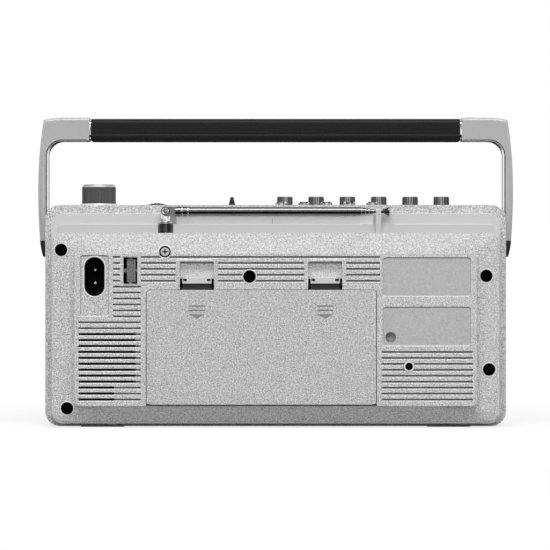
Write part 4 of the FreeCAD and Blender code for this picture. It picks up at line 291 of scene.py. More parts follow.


# %% [markdown]
# ## Where the case's paint changes
#
# The moulded back is one surface, but its paint doesn't look the same everywhere: the stair is smooth,
# the recessed plates are finer than the face round them, and the slots beside the transformer are painted
# dark, as painted shade. These places could be separate materials on separate faces, but a soft edge is
# easier with numbers. Each row of grooves is given by its ends in X, its first and last row, and how much
# lighter its painted lip highlight is.

# %% Places on the back
STAIR = (27.15 * MM, 39.7 * MM)
PLATE = (48.46 * MM, 48.75 * MM)
PAD = (-128.4 * MM, 128.4 * MM, 14.2 * MM, 111.2 * MM)
KNOCKOUTS = (88.4 * MM, 97.4 * MM, 91.6 * MM, 110.2 * MM)
VENTS = ((89.6 * MM, 126 * MM, 28 * MM, 62 * MM), (103.6 * MM, 126 * MM, 16.6 * MM, 28 * MM))
DIMPLE = (-73.6 * MM, 0, 58.2 * MM)
WELL, FIXING_SHADE = 4.3 * MM, 3.95 * MM
ROW_START, ROW_PITCH = 111.5 * MM, 3.8 * MM
GROOVES = (
    (-66.8, 86.3, 0, 0, 0.2), (98.8, 104, 0, 4, 0.2), (63.9, 86.3, 1, 4, 0.2),
    (-36.9, 36.9, 1, 4, 0.2), (-66.8, -63.9, 1, 4, 0.2), (86.3, 104, 5, 10, 0.2),
    (86.3, 126.2, 11, 12, 0.2), (86.3, 89.4, 13, 24, 0.2), (-126.2, -67.8, 16, 24, 0.2),
    (89.4, 126.2, 13, 21, 0.5), (103.4, 126.2, 22, 24, 0.5), (89.4, 103.4, 22, 24, 0.2))
FIXING_HEIGHT = 113 * MM
latch_middles = [centre_of(f"battery_latch_{side}")[0] for side in ("left", "right")]
wells = [centre for centre in screw_centres if abs(centre[2] - FIXING_HEIGHT) > 1 * MM]
fixing = min(screw_centres, key=lambda centre: abs(centre[2] - FIXING_HEIGHT))
print("wells", len(wells), "groove groups", len(GROOVES))


# %% [markdown]
# ## The grained silver of the case
#
# Cases like this are moulded with a fine leather-like spark texture and then sprayed silver. A picture of
# grain would do, but it has a seam and a fixed size, and noise has neither. The noise here is under a
# millimetre across, and it is used both as relief and as a change of tone, because metal flakes lie at
# all angles. The stair round the back is polished in the mould, so the grain fades out there, and the
# recessed plates keep only a fifth of it.

# %% Grain and base tone
SILVER = 196
GRAIN_MIDDLE, GRAIN_CONTRAST, GRAIN_DEPTH, BASE_TONE = 0.67, 2.6, 0.8 * MM, 1.05


def silver_paint(name):
    """The silver finish with its grain, and the socket that carries its tone."""
    paint = Finish(name, grey(SILVER), 0.45, metallic=0.12, **{"Specular IOR Level": 0.35})
    coarse = paint.noise(1350, 2.5, roughness=0.6)
    fine = paint.noise(2600, 1.0)
    texture = paint.maths("MULTIPLY_ADD", fine, 0.35, coarse)
    stair = paint.between(paint.axis("Y"), *STAIR, 0.05 * MM)
    recessed = paint.between(paint.axis("Y"), *PLATE, 0.05 * MM)
    plate = paint.maths("MULTIPLY", recessed, paint.inside_box(*PAD))
    amount = paint.maths("SUBTRACT", 1.0, paint.maths("MULTIPLY_ADD", plate, 0.8, stair))
    lifted = paint.maths("MULTIPLY", texture, amount)
    contrast = paint.maths("MULTIPLY", paint.maths("SUBTRACT", texture, GRAIN_MIDDLE), amount)
    tone = paint.maths("MULTIPLY_ADD", contrast, GRAIN_CONTRAST, BASE_TONE)
    paint.relief(lifted, GRAIN_DEPTH)
    return paint, paint.maths("MULTIPLY", tone, paint.maths("MULTIPLY_ADD", plate, -0.135, 1.0))


def finish_paint(paint, level, tone):
    """Colours a paint by its tone and returns the colour, so that more can be blended over it."""
    speckled = paint.add("ShaderNodeVectorMath", operation="SCALE")
    paint.set(speckled, {0: grey(level)[:3], "Scale": tone})
    paint.colour(speckled.outputs[0])
    return speckled.outputs[0]


print("silver", SILVER, "of 255")


# %% [markdown]
# ## Painted shade and light in grooves, on ledges and on lips
#
# The grooves and recessed marks of the pad are painted darker, as painted shade, and its walls are
# painted lighter where they face up and darker where they face down, as painted light and shade. Such
# shade could be painted by hand, but the surface's own normal already tells a ledge from a wall. Just
# under each groove a thin light line is painted, as a painted highlight on the groove's lower lip. Rows
# repeat at one pitch, so the fractional part of a height, measured in rows, says where in its row a point
# lies.

# %% Grooves, ledges and lips
def row_share(paint):
    """How far down its row of grooves a point lies, from 0 to 1."""
    down = paint.maths("SUBTRACT", ROW_START, paint.axis("Z"))
    return paint.maths("FRACT", paint.maths("DIVIDE", down, ROW_PITCH))


def painted_pad_light_and_shade(paint, tone, marks):
    """Painted shade in grooves, marks and under pad ledges facing down; painted light on those facing up."""
    on_pad = paint.inside_box(*PAD)
    groove = paint.between(paint.axis("Y"), 47.2 * MM, 48.1 * MM, 0.12 * MM)
    mark = paint.between(paint.axis("Y"), 48.4 * MM, 48.8 * MM, 0.1 * MM)
    # Painted shade: grooves and recessed marks are darkened by their depth.
    depth = paint.maths("MULTIPLY_ADD", groove, 0.6, paint.maths("MULTIPLY", mark, marks))
    flat = paint.maths("POWER", paint.maths("ABSOLUTE", paint.facing("Y")), 4.0)
    wall = paint.maths("SUBTRACT", 1.0, flat)
    # Painted light and shade: walls facing up are lighter, walls facing down darker.
    ledge = paint.maths("MULTIPLY", paint.maths("MULTIPLY", paint.facing("Z"), wall), 1.3)
    change = paint.maths("MULTIPLY", paint.maths("SUBTRACT", ledge, depth), on_pad)
    factor = paint.maths("MAXIMUM", paint.maths("ADD", change, 1.0), 0.1)
    return paint.maths("MULTIPLY", tone, factor)


def painted_lip_highlights(paint):
    """A painted highlight: a lighter line just under each groove, on the edge between groove and face."""
    under = paint.between(row_share(paint), 0.71, 0.85, 0.03)
    face = paint.between(paint.axis("Y"), 48.8 * MM, 50 * MM, 0.05 * MM)
    line = paint.maths("MULTIPLY", under, face)
    total = 1.0
    for right, left, first, last, gain in GROOVES:
        top, low = ROW_START - ROW_PITCH * first, ROW_START - ROW_PITCH * (last + 1)
        zone = paint.maths("MULTIPLY", line, paint.inside_box(right * MM, left * MM, low, top, 0.05 * MM))
        total = paint.maths("MULTIPLY_ADD", zone, gain, total)
    return total


print("rows", round(ROW_PITCH / MM, 2), "mm apart")


# %% [markdown]
# ## The tuning scale behind its window
#
# The floor of the dial's recess is printed on a real player. Here it carries no words or figures: two
# pale lines, short ticks between them, and a longer tick every fifth. They could be thin boxes, but print
# has no thickness. Ticks at an even pitch come from the fractional part of X, and stay sharp however near
# one looks.

# %% Dial floor
def print_scale(paint, colour):
    """Prints the dial's floor black, with two pale lines and two rows of ticks."""
    low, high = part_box("dial_window")
    floor = paint.between(paint.axis("Y"), low[1] + 5 * MM, low[1] + 8 * MM, 0.1 * MM)
    floor = paint.maths("MULTIPLY", floor, paint.inside_box(low[0], high[0], low[2], high[2]))
    middle = (low[2] + high[2]) / 2
    rows = []
    for pitch, reach in ((4 * MM, 1.6 * MM), (20 * MM, 3.2 * MM)):
        share = paint.maths("FRACT", paint.maths("DIVIDE", paint.axis("X"), pitch))
        tick = paint.maths("LESS_THAN", share, 0.45 * MM / pitch)
        tall = paint.between(paint.axis("Z"), middle - reach, middle + reach, 0.03 * MM)
        rows.append(paint.maths("MULTIPLY", tick, tall))
    for height in (middle - 4.6 * MM, middle + 4.6 * MM):
        rows.append(paint.between(paint.axis("Z"), height - 0.2 * MM, height + 0.2 * MM, 0.03 * MM))
    printed = rows[0]
    for row in rows[1:]:
        printed = paint.maths("MAXIMUM", printed, row)
    inside = paint.inside_box(low[0] + 9 * MM, high[0] - 9 * MM, low[2], high[2])
    scale = paint.blend(paint.maths("MULTIPLY", printed, inside), grey(24), grey(225))
    paint.colour(paint.blend(floor, colour, scale))


front_paint, front_tone = silver_paint("grained silver front")
print_scale(front_paint, finish_paint(front_paint, SILVER, front_tone))
dress(front_paint, "front_shell")
print("dial scale printed")


# %% [markdown]
# ## The back of the case and the battery door
#
# The back takes the same paint with its own changes. A small break in the stair's line is a thin dark
# mark. The band behind the antenna is painted lighter, as painted light over the rod's shadow, and the
# lowest step is painted a little darker, as painted shade. The knock-outs and the slots beside the
# transformer are painted dark, as painted shade, and the bottoms of the finger scoops are painted paler,
# as painted light. The round dimple could be cut into the solid, but it is so shallow that bent normals
# do. The screw wells are lost in their own shade, so they are black round each screw's axis.

# %% Rear shell and door
back, tone = silver_paint("grained silver")
tone = painted_pad_light_and_shade(back, tone, 0.1)
# Painted shade: the knock-out plates are darker, as the shade of their recess.
painted_light_and_shade = back.maths("MULTIPLY_ADD", back.inside_box(*KNOCKOUTS), -0.3, 1.0)
# Painted light: the band behind the rod is lighter, over the rod's shadow.
behind_rod = back.inside_box(-63 * MM, 64 * MM, 131 * MM, 136.5 * MM)
painted_light_and_shade = back.maths("MULTIPLY_ADD", behind_rod, 0.75, painted_light_and_shade)
# Painted shade: the lowest step is a little darker.
lowest_step = back.inside_box(-141 * MM, 141 * MM, 124.6 * MM, 130.8 * MM)
painted_light_and_shade = back.maths("MULTIPLY_ADD", lowest_step, -0.06, painted_light_and_shade)
# Painted light: the bottoms of the finger scoops are paler.
scoop_depth = back.between(back.axis("Y"), 38 * MM, 46 * MM, 0.3 * MM)
for middle in latch_middles:
    scoop = back.inside_box(middle - 11 * MM, middle + 11 * MM, 90 * MM, 108.6 * MM)
    scoop = back.maths("MULTIPLY", scoop, scoop_depth)
    painted_light_and_shade = back.maths("MULTIPLY_ADD", scoop, 0.6, painted_light_and_shade)
split = back.inside_box(1.6 * MM, 2.3 * MM, 131.4 * MM, 134.9 * MM, 0.05 * MM)
tone = back.maths("MULTIPLY", tone, back.maths("MULTIPLY_ADD", split, -0.6, painted_light_and_shade))
# Painted shade: the slots beside the transformer, and a margin round each row of them, are darkened.
slot_depth = back.between(back.axis("Y"), 40 * MM, 48.5 * MM, 0.15 * MM)
slot_row = back.between(row_share(back), 0.27, 0.70, 0.02)
slot_shade = back.maths("MAXIMUM", slot_depth, slot_row)
for span in VENTS:
    slot = back.maths("MULTIPLY", back.inside_box(*span), slot_shade)
    shade = back.maths("MULTIPLY_ADD", slot, -0.9, 1.0)
    tone = back.maths("MULTIPLY", tone, shade)
back.dish(DIMPLE, 3.4 * MM, 4 * MM)
# Painted highlight: a light line under each groove.
tone = back.maths("MULTIPLY", tone, painted_lip_highlights(back))
colour = finish_paint(back, SILVER + 6, tone)
for centre in wells:
    colour = back.blend(back.near_axis(centre, WELL), colour, grey(6))
colour = back.blend(back.near_axis(fixing, FIXING_SHADE), colour, grey(10))
back.colour(colour)
door, door_tone = silver_paint("grained silver door")
finish_paint(door, SILVER, painted_pad_light_and_shade(door, door_tone, 0.42))
dress(back, "rear_shell")
dress(door, "battery_door")
print("silver back and door, wells darkened", len(wells))


# %% [markdown]
# ## Plain plastics, rubber and paper
#
# Black mouldings are never quite black or even. One flat colour would look like cut paper, and a faint
# cloudiness in tone and roughness mends that. The same helper makes the rubber feet, the paper cone and
# the laminate of the board, with other colours and another grain.

# %% Moulded black parts


def moulded(name, colour, roughness, grain_scale=900, depth=0.02 * MM, cloud=0.25, **sockets):
    """A cloudy plastic with a fine grain of a real depth."""
    plastic = Finish(name, colour, roughness, **sockets)
    cloudy = plastic.noise(45, 3.0)
    plastic.rough(plastic.spread(cloudy, roughness - 0.08, roughness + 0.08))
    darker = tuple(dark_liner_and_shade * (1 - cloud) for dark_liner_and_shade in colour[:3]) + (1,)
    plastic.colour(plastic.blend(cloudy, darker, colour))
    plastic.relief(plastic.noise(grain_scale, 2.0), depth)
    return plastic


black = moulded("matt black moulding", grey(30), 0.5)
dress(black, "battery_box", "function_switch", "handle_hubs", "tape_head", "supply_reel", "take_up_reel")
dress(moulded("inlet black", grey(9), 0.6, **{"Specular IOR Level": 0.2}), "ac_inlet", "dc_jack")
dress(moulded("foot rubber", grey(38), 0.75, grain_scale=1500), "feet", "pinch_roller", "drive_belt")
dress(moulded("board laminate", (0.20, 0.11, 0.04, 1), 0.5, cloud=0.35), "main_board")
dress(moulded("loudspeaker paper", grey(45), 0.85, grain_scale=700, depth=0.08 * MM), "speaker")
print("plastics, rubber, paper and laminate done")


# %% [markdown]
# ## The hand grip and its arms
#
# The grip is a soft black sleeve with a skin that was drawn along its length. Brush marks could be a
# picture, but the same noise, read from coordinates that are squeezed along X, gives them at once. A seam
# runs low along the sleeve's back, as a narrow paler line with a groove in the relief. The arms are a
# satin silver with hardly any grain: a low relief and a slow cloud in the roughness let the light move
# over the bow.

# %% Grip and arms
SEAM_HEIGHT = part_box("handle_grip")[0][2] + 4.1 * MM
grip = Finish("drawn black grip", grey(24), 0.55, **{"Specular IOR Level": 0.25})
drawn = grip.noise(900, 3.0, where=grip.stretched(0.06, 1, 1))
seam = grip.between(grip.axis("Z"), SEAM_HEIGHT - 0.25 * MM, SEAM_HEIGHT + 0.25 * MM, 0.1 * MM)
sheen = grip.blend(drawn, grey(12), grey(34))
grip.colour(grip.blend(seam, sheen, grey(52)))
grip.relief(drawn, 0.08 * MM)
grip.relief(seam, -0.15 * MM)
dress(grip, "handle_grip")
satin = Finish("satin silver arm", grey(183), 0.4, metallic=0.22)
satin.rough(satin.spread(satin.noise(30, 2.0), 0.33, 0.43))
satin.relief(satin.noise(1600, 1.5), 0.012 * MM)
dress(satin, "handle_arm_left", "handle_arm_right")
print("seam at", round(float(SEAM_HEIGHT) / MM, 1), "mm")


# %% [markdown]
# ## Bright metals
#
# Chrome is almost a mirror: its look comes from what it reflects, so it needs only a trace of drawing
# marks. Steel and brass are duller. One function makes them all, with the marks drawn along X for the
# antenna's tubes and without direction for the rest. The antenna's foot is painted dark below its neck, as
# painted shade, and bright above it. Each piano key is slightly round, which could be modelled, but only
# its reflections show it, so its normals are bent. The transformer's core is a dark plastic, painted near
# black as painted shade inside the case behind the slots.

# %% Chrome, steel and brass


def metal(name, colour, roughness, stretch=(1, 1, 1), marks=0.06, ripple=0.0):
    """A metal with drawing marks and, if asked, slow ripples that break up its reflections."""
    bright = Finish(name, colour, roughness, metallic=1.0)
    drawn = bright.noise(1400, 2.0, where=bright.stretched(*stretch))
    bright.rough(bright.spread(drawn, max(roughness - marks, 0.02), roughness + marks))
    bright.relief(drawn, 0.002 * MM)
    if ripple:
        bright.relief(bright.noise(330, 1.0, where=bright.stretched(1, 1, 0.3)), ripple)
    return bright


chrome = metal("chrome", grey(228), 0.1, ripple=0.5 * MM)
base_chrome = metal("antenna base chrome", grey(88), 0.15, ripple=0.5 * MM)
# Painted shade: the foot is darker below its neck, bright above it.
neck = base_chrome.between(base_chrome.axis("Z"), 131.2 * MM, 160 * MM, 0.1 * MM)
base_chrome.colour(base_chrome.blend(neck, grey(88), grey(230)))
tube_chrome = metal("antenna chrome", grey(122), 0.14, stretch=(0.04, 1, 1))
trim_chrome = metal("trim chrome", grey(225), 0.18)
steel = metal("zinc plated steel", grey(165), 0.35)
brass = metal("tinned brass", grey(215, warm=0.04), 0.2)
KEY_NAMES = [f"{name}_key" for name in ("record", "play", "rewind", "forward", "stop", "pause")]
key_centres = [centre_of(name)[0] for name in KEY_NAMES]
key_chrome = metal("key chrome", grey(150), 0.09, ripple=0.12 * MM)
key_chrome.barrel(key_centres, 5.25 * MM, 1.6 * MM)
dress(key_chrome, *KEY_NAMES)
dress(base_chrome, "antenna_base")
dress(tube_chrome, "antenna_root")
dress(chrome, "handle_ferrules", "antenna_pin", "antenna_tip",
      *(f"selector_button_{index}" for index in range(1, 6)))
dress(tube_chrome, *(f"antenna_tube_{index}" for index in range(1, 6)))
dress(steel, "battery_contacts", "tape_deck", "drive_motor", "capstan", "handle_pivots")
# Painted shade: the core is near black, as the shade inside the case behind the slots.
dress(moulded("core in painted shade", grey(14), 0.7), "transformer")
dress(brass, "inlet_pins", "motor_pulley")
print("keys at", [round(centre / MM, 1) for centre in key_centres])


# %% [markdown]
# ## Screws: black ones in the wells, a bright one under the antenna
#
# All six case screws are one node. They could be split and given two materials, but one that knows where
# the bright screw is serves them all. It is steel painted near black everywhere, as painted shade at the
# bottom of the deep wells, except near the axis of the screw that holds the antenna: there it is bright,
# with the cross of its drive painted dark, as painted shade, and the same painted shade in a ring where the
# head ends.

# %% Screw finishes
black_steel = Finish("blackened screw", grey(22), 0.5, metallic=0.6)
black_steel.relief(black_steel.noise(1800, 2.0), 0.01 * MM)
dress(black_steel, "handle_screws")
# Painted shade: the screws in the wells are near black, and so is the cross of the bright screw's drive.
screw_steel = Finish("case screw steel", grey(8), 0.5, metallic=0.7)
HEAD, ARM, REACH = 2.75 * MM, 0.42 * MM, 1.7 * MM
head = screw_steel.near_axis(fixing, HEAD)
across, _, up = fixing
slots = [screw_steel.inside_box(across - wide, across + wide, up - tall, up + tall, 0.05 * MM)
         for wide, tall in ((ARM, REACH), (REACH, ARM))]
drive = screw_steel.maths("MAXIMUM", *slots)
bright_head = screw_steel.blend(drive, grey(235), grey(70))
screw_steel.colour(screw_steel.blend(head, grey(8), bright_head))
screw_steel.relief(screw_steel.noise(1500, 2.0), 0.02 * MM)
dress(screw_steel, "case_screws")
print("fixing screw at", [round(float(value) / MM, 1) for value in fixing])


# %% [markdown]
# ## The two-tone knob and the latches in painted shade
#
# The volume knob has a dark fluted side between a pale skirt and a pale shoulder, and each latch has a
# silver lip over a part that is painted near black, as painted shade in the gap above the door. Both are
# one moulding with painted zones. Faces could be picked by hand for a second material, but one material
# with a sharp change at a height needs no picking. Each lip has two notches painted dark, as painted shade.

# %% Volume knob, latches and tuning wheel


def zoned(name, axis, low, high, inside, outside, roughness, metallic):
    """One finish inside a span of an axis and another outside it."""
    finish = Finish(name, inside, roughness)
    zone = finish.between(finish.axis(axis), low, high, 0.05 * MM)
    finish.colour(finish.blend(zone, outside, inside))
    finish.set(finish.shader, {"Metallic": finish.spread(zone, metallic, 0.0)})
    finish.relief(finish.noise(1200, 2.0), 0.01 * MM)
    return finish


knob_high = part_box("volume_knob")[1]
SKIRT_TOP, SHOULDER = 144.95 * MM, 1.75 * MM
fluted = zoned("fluted knob", "Z", SKIRT_TOP, knob_high[2] - SHOULDER, grey(78), grey(185), 0.4, 0.15)
dress(fluted, "volume_knob")
dress(moulded("tuning wheel rim", grey(55), 0.5), "tuning_wheel")
for side in ("left", "right"):
    latch_low, latch_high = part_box(f"battery_latch_{side}")
    lip = latch_high[2] - 4.4 * MM
    # Painted shade: below its lip the latch is near black, and two notches in the lip are dark.
    shaded_latch = zoned(f"latch {side}", "Z", latch_low[2] - 1 * MM, lip, grey(45), grey(212), 0.4, 0.2)
    for inner, outer in ((latch_low[0] + 0.6 * MM, latch_low[0] + 2.9 * MM),
                         (latch_high[0] - 2.9 * MM, latch_high[0] - 0.6 * MM)):
        notch_shade = shaded_latch.inside_box(inner, outer, latch_high[2] - 3.0 * MM, latch_high[2] - 1.4 * MM)
        plated = shaded_latch.shader.inputs["Base Color"].links[0].from_socket
        shaded_latch.colour(shaded_latch.blend(notch_shade, plated, grey(30)))
    dress(shaded_latch, f"battery_latch_{side}")
print("two-tone knob and latches done")


# %% [markdown]
# ## Clip, cassette lid, windows, grille and pointer
#
# The post that the antenna snaps behind is the same silver as the case, only smoother. The front of the
# player has a dark cassette lid, clear windows, a painted grille and a red pointer. They are single
# colours, so the moulded finish and one clear one are enough.

# %% Clip and front
smooth_silver = moulded("smooth silver", grey(205), 0.4, depth=0.01 * MM, cloud=0.05, metallic=0.2)
dress(smooth_silver, "antenna_clip")
dress(moulded("cassette lid", grey(52), 0.35), "cassette_door")
clear = Finish("clear window", (0.92, 0.94, 0.94, 1), 0.05, **{"Transmission Weight": 0.9, "IOR": 1.49})
clear.relief(clear.noise(20, 1.0), 0.02 * MM)
dress(clear, "dial_window", "cassette_window")
dress(moulded("grille paint", grey(92), 0.4, grain_scale=1200, metallic=0.3), "speaker_grille")
dress(moulded("pointer red", (0.55, 0.04, 0.03, 1), 0.35), "dial_pointer")
print("clip and front done")


# %% [markdown]
# ## Surfaces from numpy
#
# The thin trim could be bevelled curves or rings from the menu, but a grid of points is easier to bend to
# fit. Here every piece is a grid in two parameters, worked out as whole arrays: a ring is a small circle
# carried round a big one, a strip is a rectangle carried along a line. `grid_piece` turns such a grid
# into a closed mesh, joins its seams and poles, points its faces outwards and lets the piece ride on a
# body.

# %% A mesh from a grid
body_of = {node: body for body, nodes in frame["record"]["behaviour"]["bodies"].items() for node in nodes}


def placed(name, data):
    """A new object in the scene."""
    thing = bpy.data.objects.new(name, data)
    bpy.context.scene.collection.objects.link(thing)
    return thing


def grid_piece(name, points, finish, body, wrap=(True, True), sharp=40):
    """A mesh over a grid of points (rows, columns, 3); wrap joins the last row or column to the first."""
    rows, columns = points.shape[:2]
    bands = rows if wrap[0] else rows - 1, columns if wrap[1] else columns - 1
    row, column = np.meshgrid(np.arange(bands[0]), np.arange(bands[1]), indexing="ij")
    below, beside = (row + 1) % rows, (column + 1) % columns
    ring = ((row, column), (below, column), (below, beside), (row, beside))
    quads = np.stack([line * columns + place for line, place in ring], axis=-1).reshape(-1, 4)
    mesh = bpy.data.meshes.new(name)
    mesh.from_pydata(points.reshape(-1, 3).tolist(), [], quads.tolist())
    shape = bmesh.new()
    shape.from_mesh(mesh)
    bmesh.ops.remove_doubles(shape, verts=shape.verts, dist=1e-6)
    bmesh.ops.recalc_face_normals(shape, faces=shape.faces)
    shape.to_mesh(mesh)
    shape.free()
    mesh.shade_smooth()
    mesh.set_sharp_from_angle(angle=math.radians(sharp))
    mesh.materials.append(finish.material)
    piece = placed(name, mesh)
    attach(piece, body)
    return piece


# %% [markdown]
# ## Turned shapes
#
# Rings, lips, bushings and caps are round, as if made on a lathe. The Spin tool would turn an outline,
# but it leaves doubled points at the seam. As a formula, a turned shape is an outline of radii and
# heights, carried round its axis in even steps, and it meets itself without a seam.

# %% Outline round an axis


def turned(profile, centre, axis, steps=64):
    """A closed outline of (radius, height) pairs turned about an axis through a centre.

    Each point is centre + radius * (cos a * first + sin a * second) + height * axis, where the angle a runs
    round the circle, and first and second stand square to the axis and to each other."""
    outline = np.asarray(profile, dtype=float)
    along = np.asarray(axis, dtype=float)
    first = np.cross(along, (0.0, 0.0, 1.0) if abs(along[2]) < 0.9 else (1.0, 0.0, 0.0))
    first /= np.linalg.norm(first)
    second = np.cross(along, first)
    angle = np.linspace(0, 2 * np.pi, steps, endpoint=False)[None, :, None]
    radius, height = outline[:, 0][:, None, None], outline[:, 1][:, None, None]
    spoke = np.cos(angle) * first + np.sin(angle) * second
    return np.asarray(centre) + radius * spoke + height * along


def bead(major, minor, steps=16):
    """The outline of a round ring: (major + minor * cos a, minor * sin a), with a round the circle."""
    angle = np.linspace(0, 2 * np.pi, steps, endpoint=False)
    return np.stack([major + minor * np.cos(angle), minor * np.sin(angle)], axis=1)


print("a bead is an outline of", len(bead(1, 0.1)), "points")


# %% [markdown]
# ## Bright rims round the screw wells
#
# On the real case each well has a small raised rim that catches the light. A bevel on the case would need
# its mesh changed, so each rim is a ring of its own, painted paler than the case as a painted highlight.
# The wells lie on slopes, and each ring is laid in the plane that four rays find round its well: the
# height of the surface on the left and right gives one slope, above and below the other. Where the rays
# meet a wall or a groove, the slopes mean nothing, and the ring lies level at the highest of the four: at
# a steep slope, and between the latches.

# %% Rims of wells
# Painted highlight: rims, pocket beads and inlet lip are paler than the case; bushing and collar share it.
trim_and_highlight_silver = moulded("bright trim and painted highlight", grey(235), 0.35, depth=0.01 * MM, cloud=0.05, metallic=0.2)
STEEPEST = 1.2


def surface_behind(x, z):
    """How far back the rear shell reaches at one place, from a ray that comes from behind."""
    _, place, _, _ = bpy.data.objects["rear_shell"].ray_cast((x, 0.2, z), (0, -1, 0))
    return place[1]


def tilted(points, centre, slopes):
    """Shears a ring in Y: y + slope in X * (x - centre x) + slope in Z * (z - centre z)."""
    lifted = points.copy()
    lifted[..., 1] += slopes[0] * (points[..., 0] - centre[0]) + slopes[1] * (points[..., 2] - centre[2])
    return lifted


def rim(name, centre, major, minor):
    """Lays a ring round a well on the shell and returns its height, in millimetres."""
    reach = major + 0.5 * MM
    left, right = (surface_behind(centre[0] + step, centre[2]) for step in (-reach, reach))
    low, high = (surface_behind(centre[0], centre[2] + step) for step in (-reach, reach))
    heights = np.array([left, right, low, high])
    slopes = ((right - left) / (2 * reach), (high - low) / (2 * reach))
    level = heights.mean()
    between_latches = centre[2] > 90 * MM and abs(centre[0]) < 60 * MM
    if max(abs(slope) for slope in slopes) > STEEPEST or between_latches:
        slopes, level = (0, 0), heights.max()
    place = (centre[0], level, centre[2])
    ring = tilted(turned(bead(major, minor), place, (0, 1, 0)), place, slopes)
    grid_piece(name, ring, trim_and_highlight_silver, body_of["rear_shell"])
    return round(float(level) / MM, 2)


for index, centre in enumerate(wells):
    print("rim", index + 1, "at", rim(f"well_rim_{index + 1}", centre, 4.35 * MM, 0.3 * MM), "mm")
print("fixing rim at", rim("fixing_rim", fixing, 4.1 * MM, 0.32 * MM), "mm")


# %% [markdown]
# ## The power socket's bushing
#
# The round low-voltage socket is held by a plated bushing. A torus would be too round for it, so it is an
# outline with a flat inner edge and a rounded lip, turned about the socket's axis.

# %% Socket bushing
jack_across, _, jack_height = centre_of("dc_jack")
jack_middle = (jack_across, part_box("dc_jack")[1][1], jack_height)
bushing = np.array([(2.45, -0.2), (3.5, -0.2), (3.5, 0.05), (3.3, 0.17), (2.8, 0.19), (2.5, 0.1)]) * MM
grid_piece("jack_bushing", turned(bushing, jack_middle, (0, 1, 0)), trim_and_highlight_silver, body_of["dc_jack"])
print("bushing", len(bushing), "points turned")


# %% [markdown]
# ## The volume knob's collar and cap
#
# The knob turns in a bright collar and is closed by a spun metal cap. Both could be stacks of cylinders,
# but a turned outline gives each in one closed surface. The cap has shallow steps, as a lathe leaves
# them, and sits in the knob's top with a small proud edge.

# %% Knob collar and cap
knob_axis = (*centre_of("volume_knob")[:2], 0)
knob_top = float(knob_high[2]) / MM
collar = np.array([
    (10.9, 143.2), (12.5, 143.2), (12.5, 144.2), (12.2, 144.75), (11.75, 144.9), (10.9, 144.9)]) * MM
grid_piece("knob_collar", turned(collar, knob_axis, (0, 0, 1), 96), trim_and_highlight_silver, body_of["rear_shell"])
ring_steps = np.linspace(9.4, 1.2, 8)
step_heights = knob_top + 0.18 + 0.05 * (np.arange(14) // 2 % 2)
stepped = np.stack([np.repeat(ring_steps, 2)[1:-1], step_heights], axis=1)
spun = metal("spun cap", grey(150), 0.3)
cap_outline = np.concatenate([[(0, knob_top - 0.4), (9.9, knob_top - 0.4), (9.9, knob_top + 0.05)], stepped,
                              [(0, knob_top + 0.2)]]) * MM
grid_piece("knob_cap", turned(cap_outline, knob_axis, (0, 0, 1), 96), spun, body_of["volume_knob"],
           wrap=(False, True), sharp=20)
print("cap with", len(ring_steps), "rings")


# %% [markdown]
# ## Rolled lips and rings of the antenna
#
# Each tube of the rod ends in a lip that is rolled inwards to hold the next one, and the root carries two
# raised rings near the elbow. The thin rod ends in a flared button, which takes the place of the plain
# solid. The swivel's pin shows a ring and a small round head. They could be cut into the solids, but at a
# quarter of a millimetre they are finish rather than form, so all are turned outlines on axes read from
# the tubes' boxes.

# %% Antenna lips and rings
ring_chrome = metal("ring chrome", grey(235), 0.2)
for index in range(1, 6):
    low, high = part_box(f"antenna_tube_{index}")
    middle = (low[0] + 0.35 * MM, *centre_of(f"antenna_tube_{index}")[1:])
    radius = (high[2] - low[2]) / 2
    lip = turned(bead(radius - 0.05 * MM, 0.22 * MM), middle, (1, 0, 0))
    grid_piece(f"tube_lip_{index}", lip, ring_chrome, body_of[f"antenna_tube_{index}"])
tip_start = -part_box("antenna_tip")[1][0] / MM
tip_axis = (0, *centre_of("antenna_tip")[1:])
tip_outline = np.array([
    (0, tip_start), (0.85, tip_start), (0.85, 67.4), (1.05, 68.2), (1.45, 69.6), (2.1, 71.2),
    (2.85, 72.4), (3.0, 72.8), (2.9, 73.2), (1.8, 73.55), (0, 73.65)]) * MM
tip_surface = turned(tip_outline, tip_axis, (-1, 0, 0))
flare = grid_piece("tip_flare", tip_surface, tube_chrome, body_of["antenna_tip"], wrap=(False, True))
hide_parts("antenna_tip")
root_low, root_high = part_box("antenna_root")
for index, across in enumerate((56.4 * MM, 60.2 * MM)):
    middle = (across, *centre_of("antenna_root")[1:])
    ring = turned(bead((root_high[2] - root_low[2]) / 2 - 0.05 * MM, 0.4 * MM), middle, (1, 0, 0))
    grid_piece(f"root_ring_{index + 1}", ring, ring_chrome, body_of["antenna_root"])
pin_across, _, pin_height = centre_of("antenna_pin")
pin_middle = (pin_across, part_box("antenna_pin")[1][1], pin_height)
dark_ring = metal("shadowed ring", grey(70), 0.3)
for name, major, minor in (("pin_ring", 2.45 * MM, 0.3 * MM), ("pin_lip", 1.2 * MM, 0.25 * MM)):
    grid_piece(name, turned(bead(major, minor), pin_middle, (0, 1, 0)), dark_ring, body_of["antenna_pin"])
print("antenna: 5 lips, 2 rings, a flared end and the pin's ring and head")


# %% [markdown]
# ## The bright line inside the handle
#
# A plated strip lines the inner wall of each arm and of the corner above it, beside a dark strip of
# painted shade, and a thin dark edge closes the channel on the front and on the back. A curve with a bevel
# would round its corners, so each is a rectangle carried along a line: up the arm, round a quarter circle
# and in along the corner, at a fixed distance outside the inner contour.

# %% Handle liner


def spokes(angle):
    """Unit directions in X and Z: (cos a, 0, sin a)."""
    return np.stack([np.cos(angle), np.zeros(len(angle)), np.sin(angle)], axis=1)


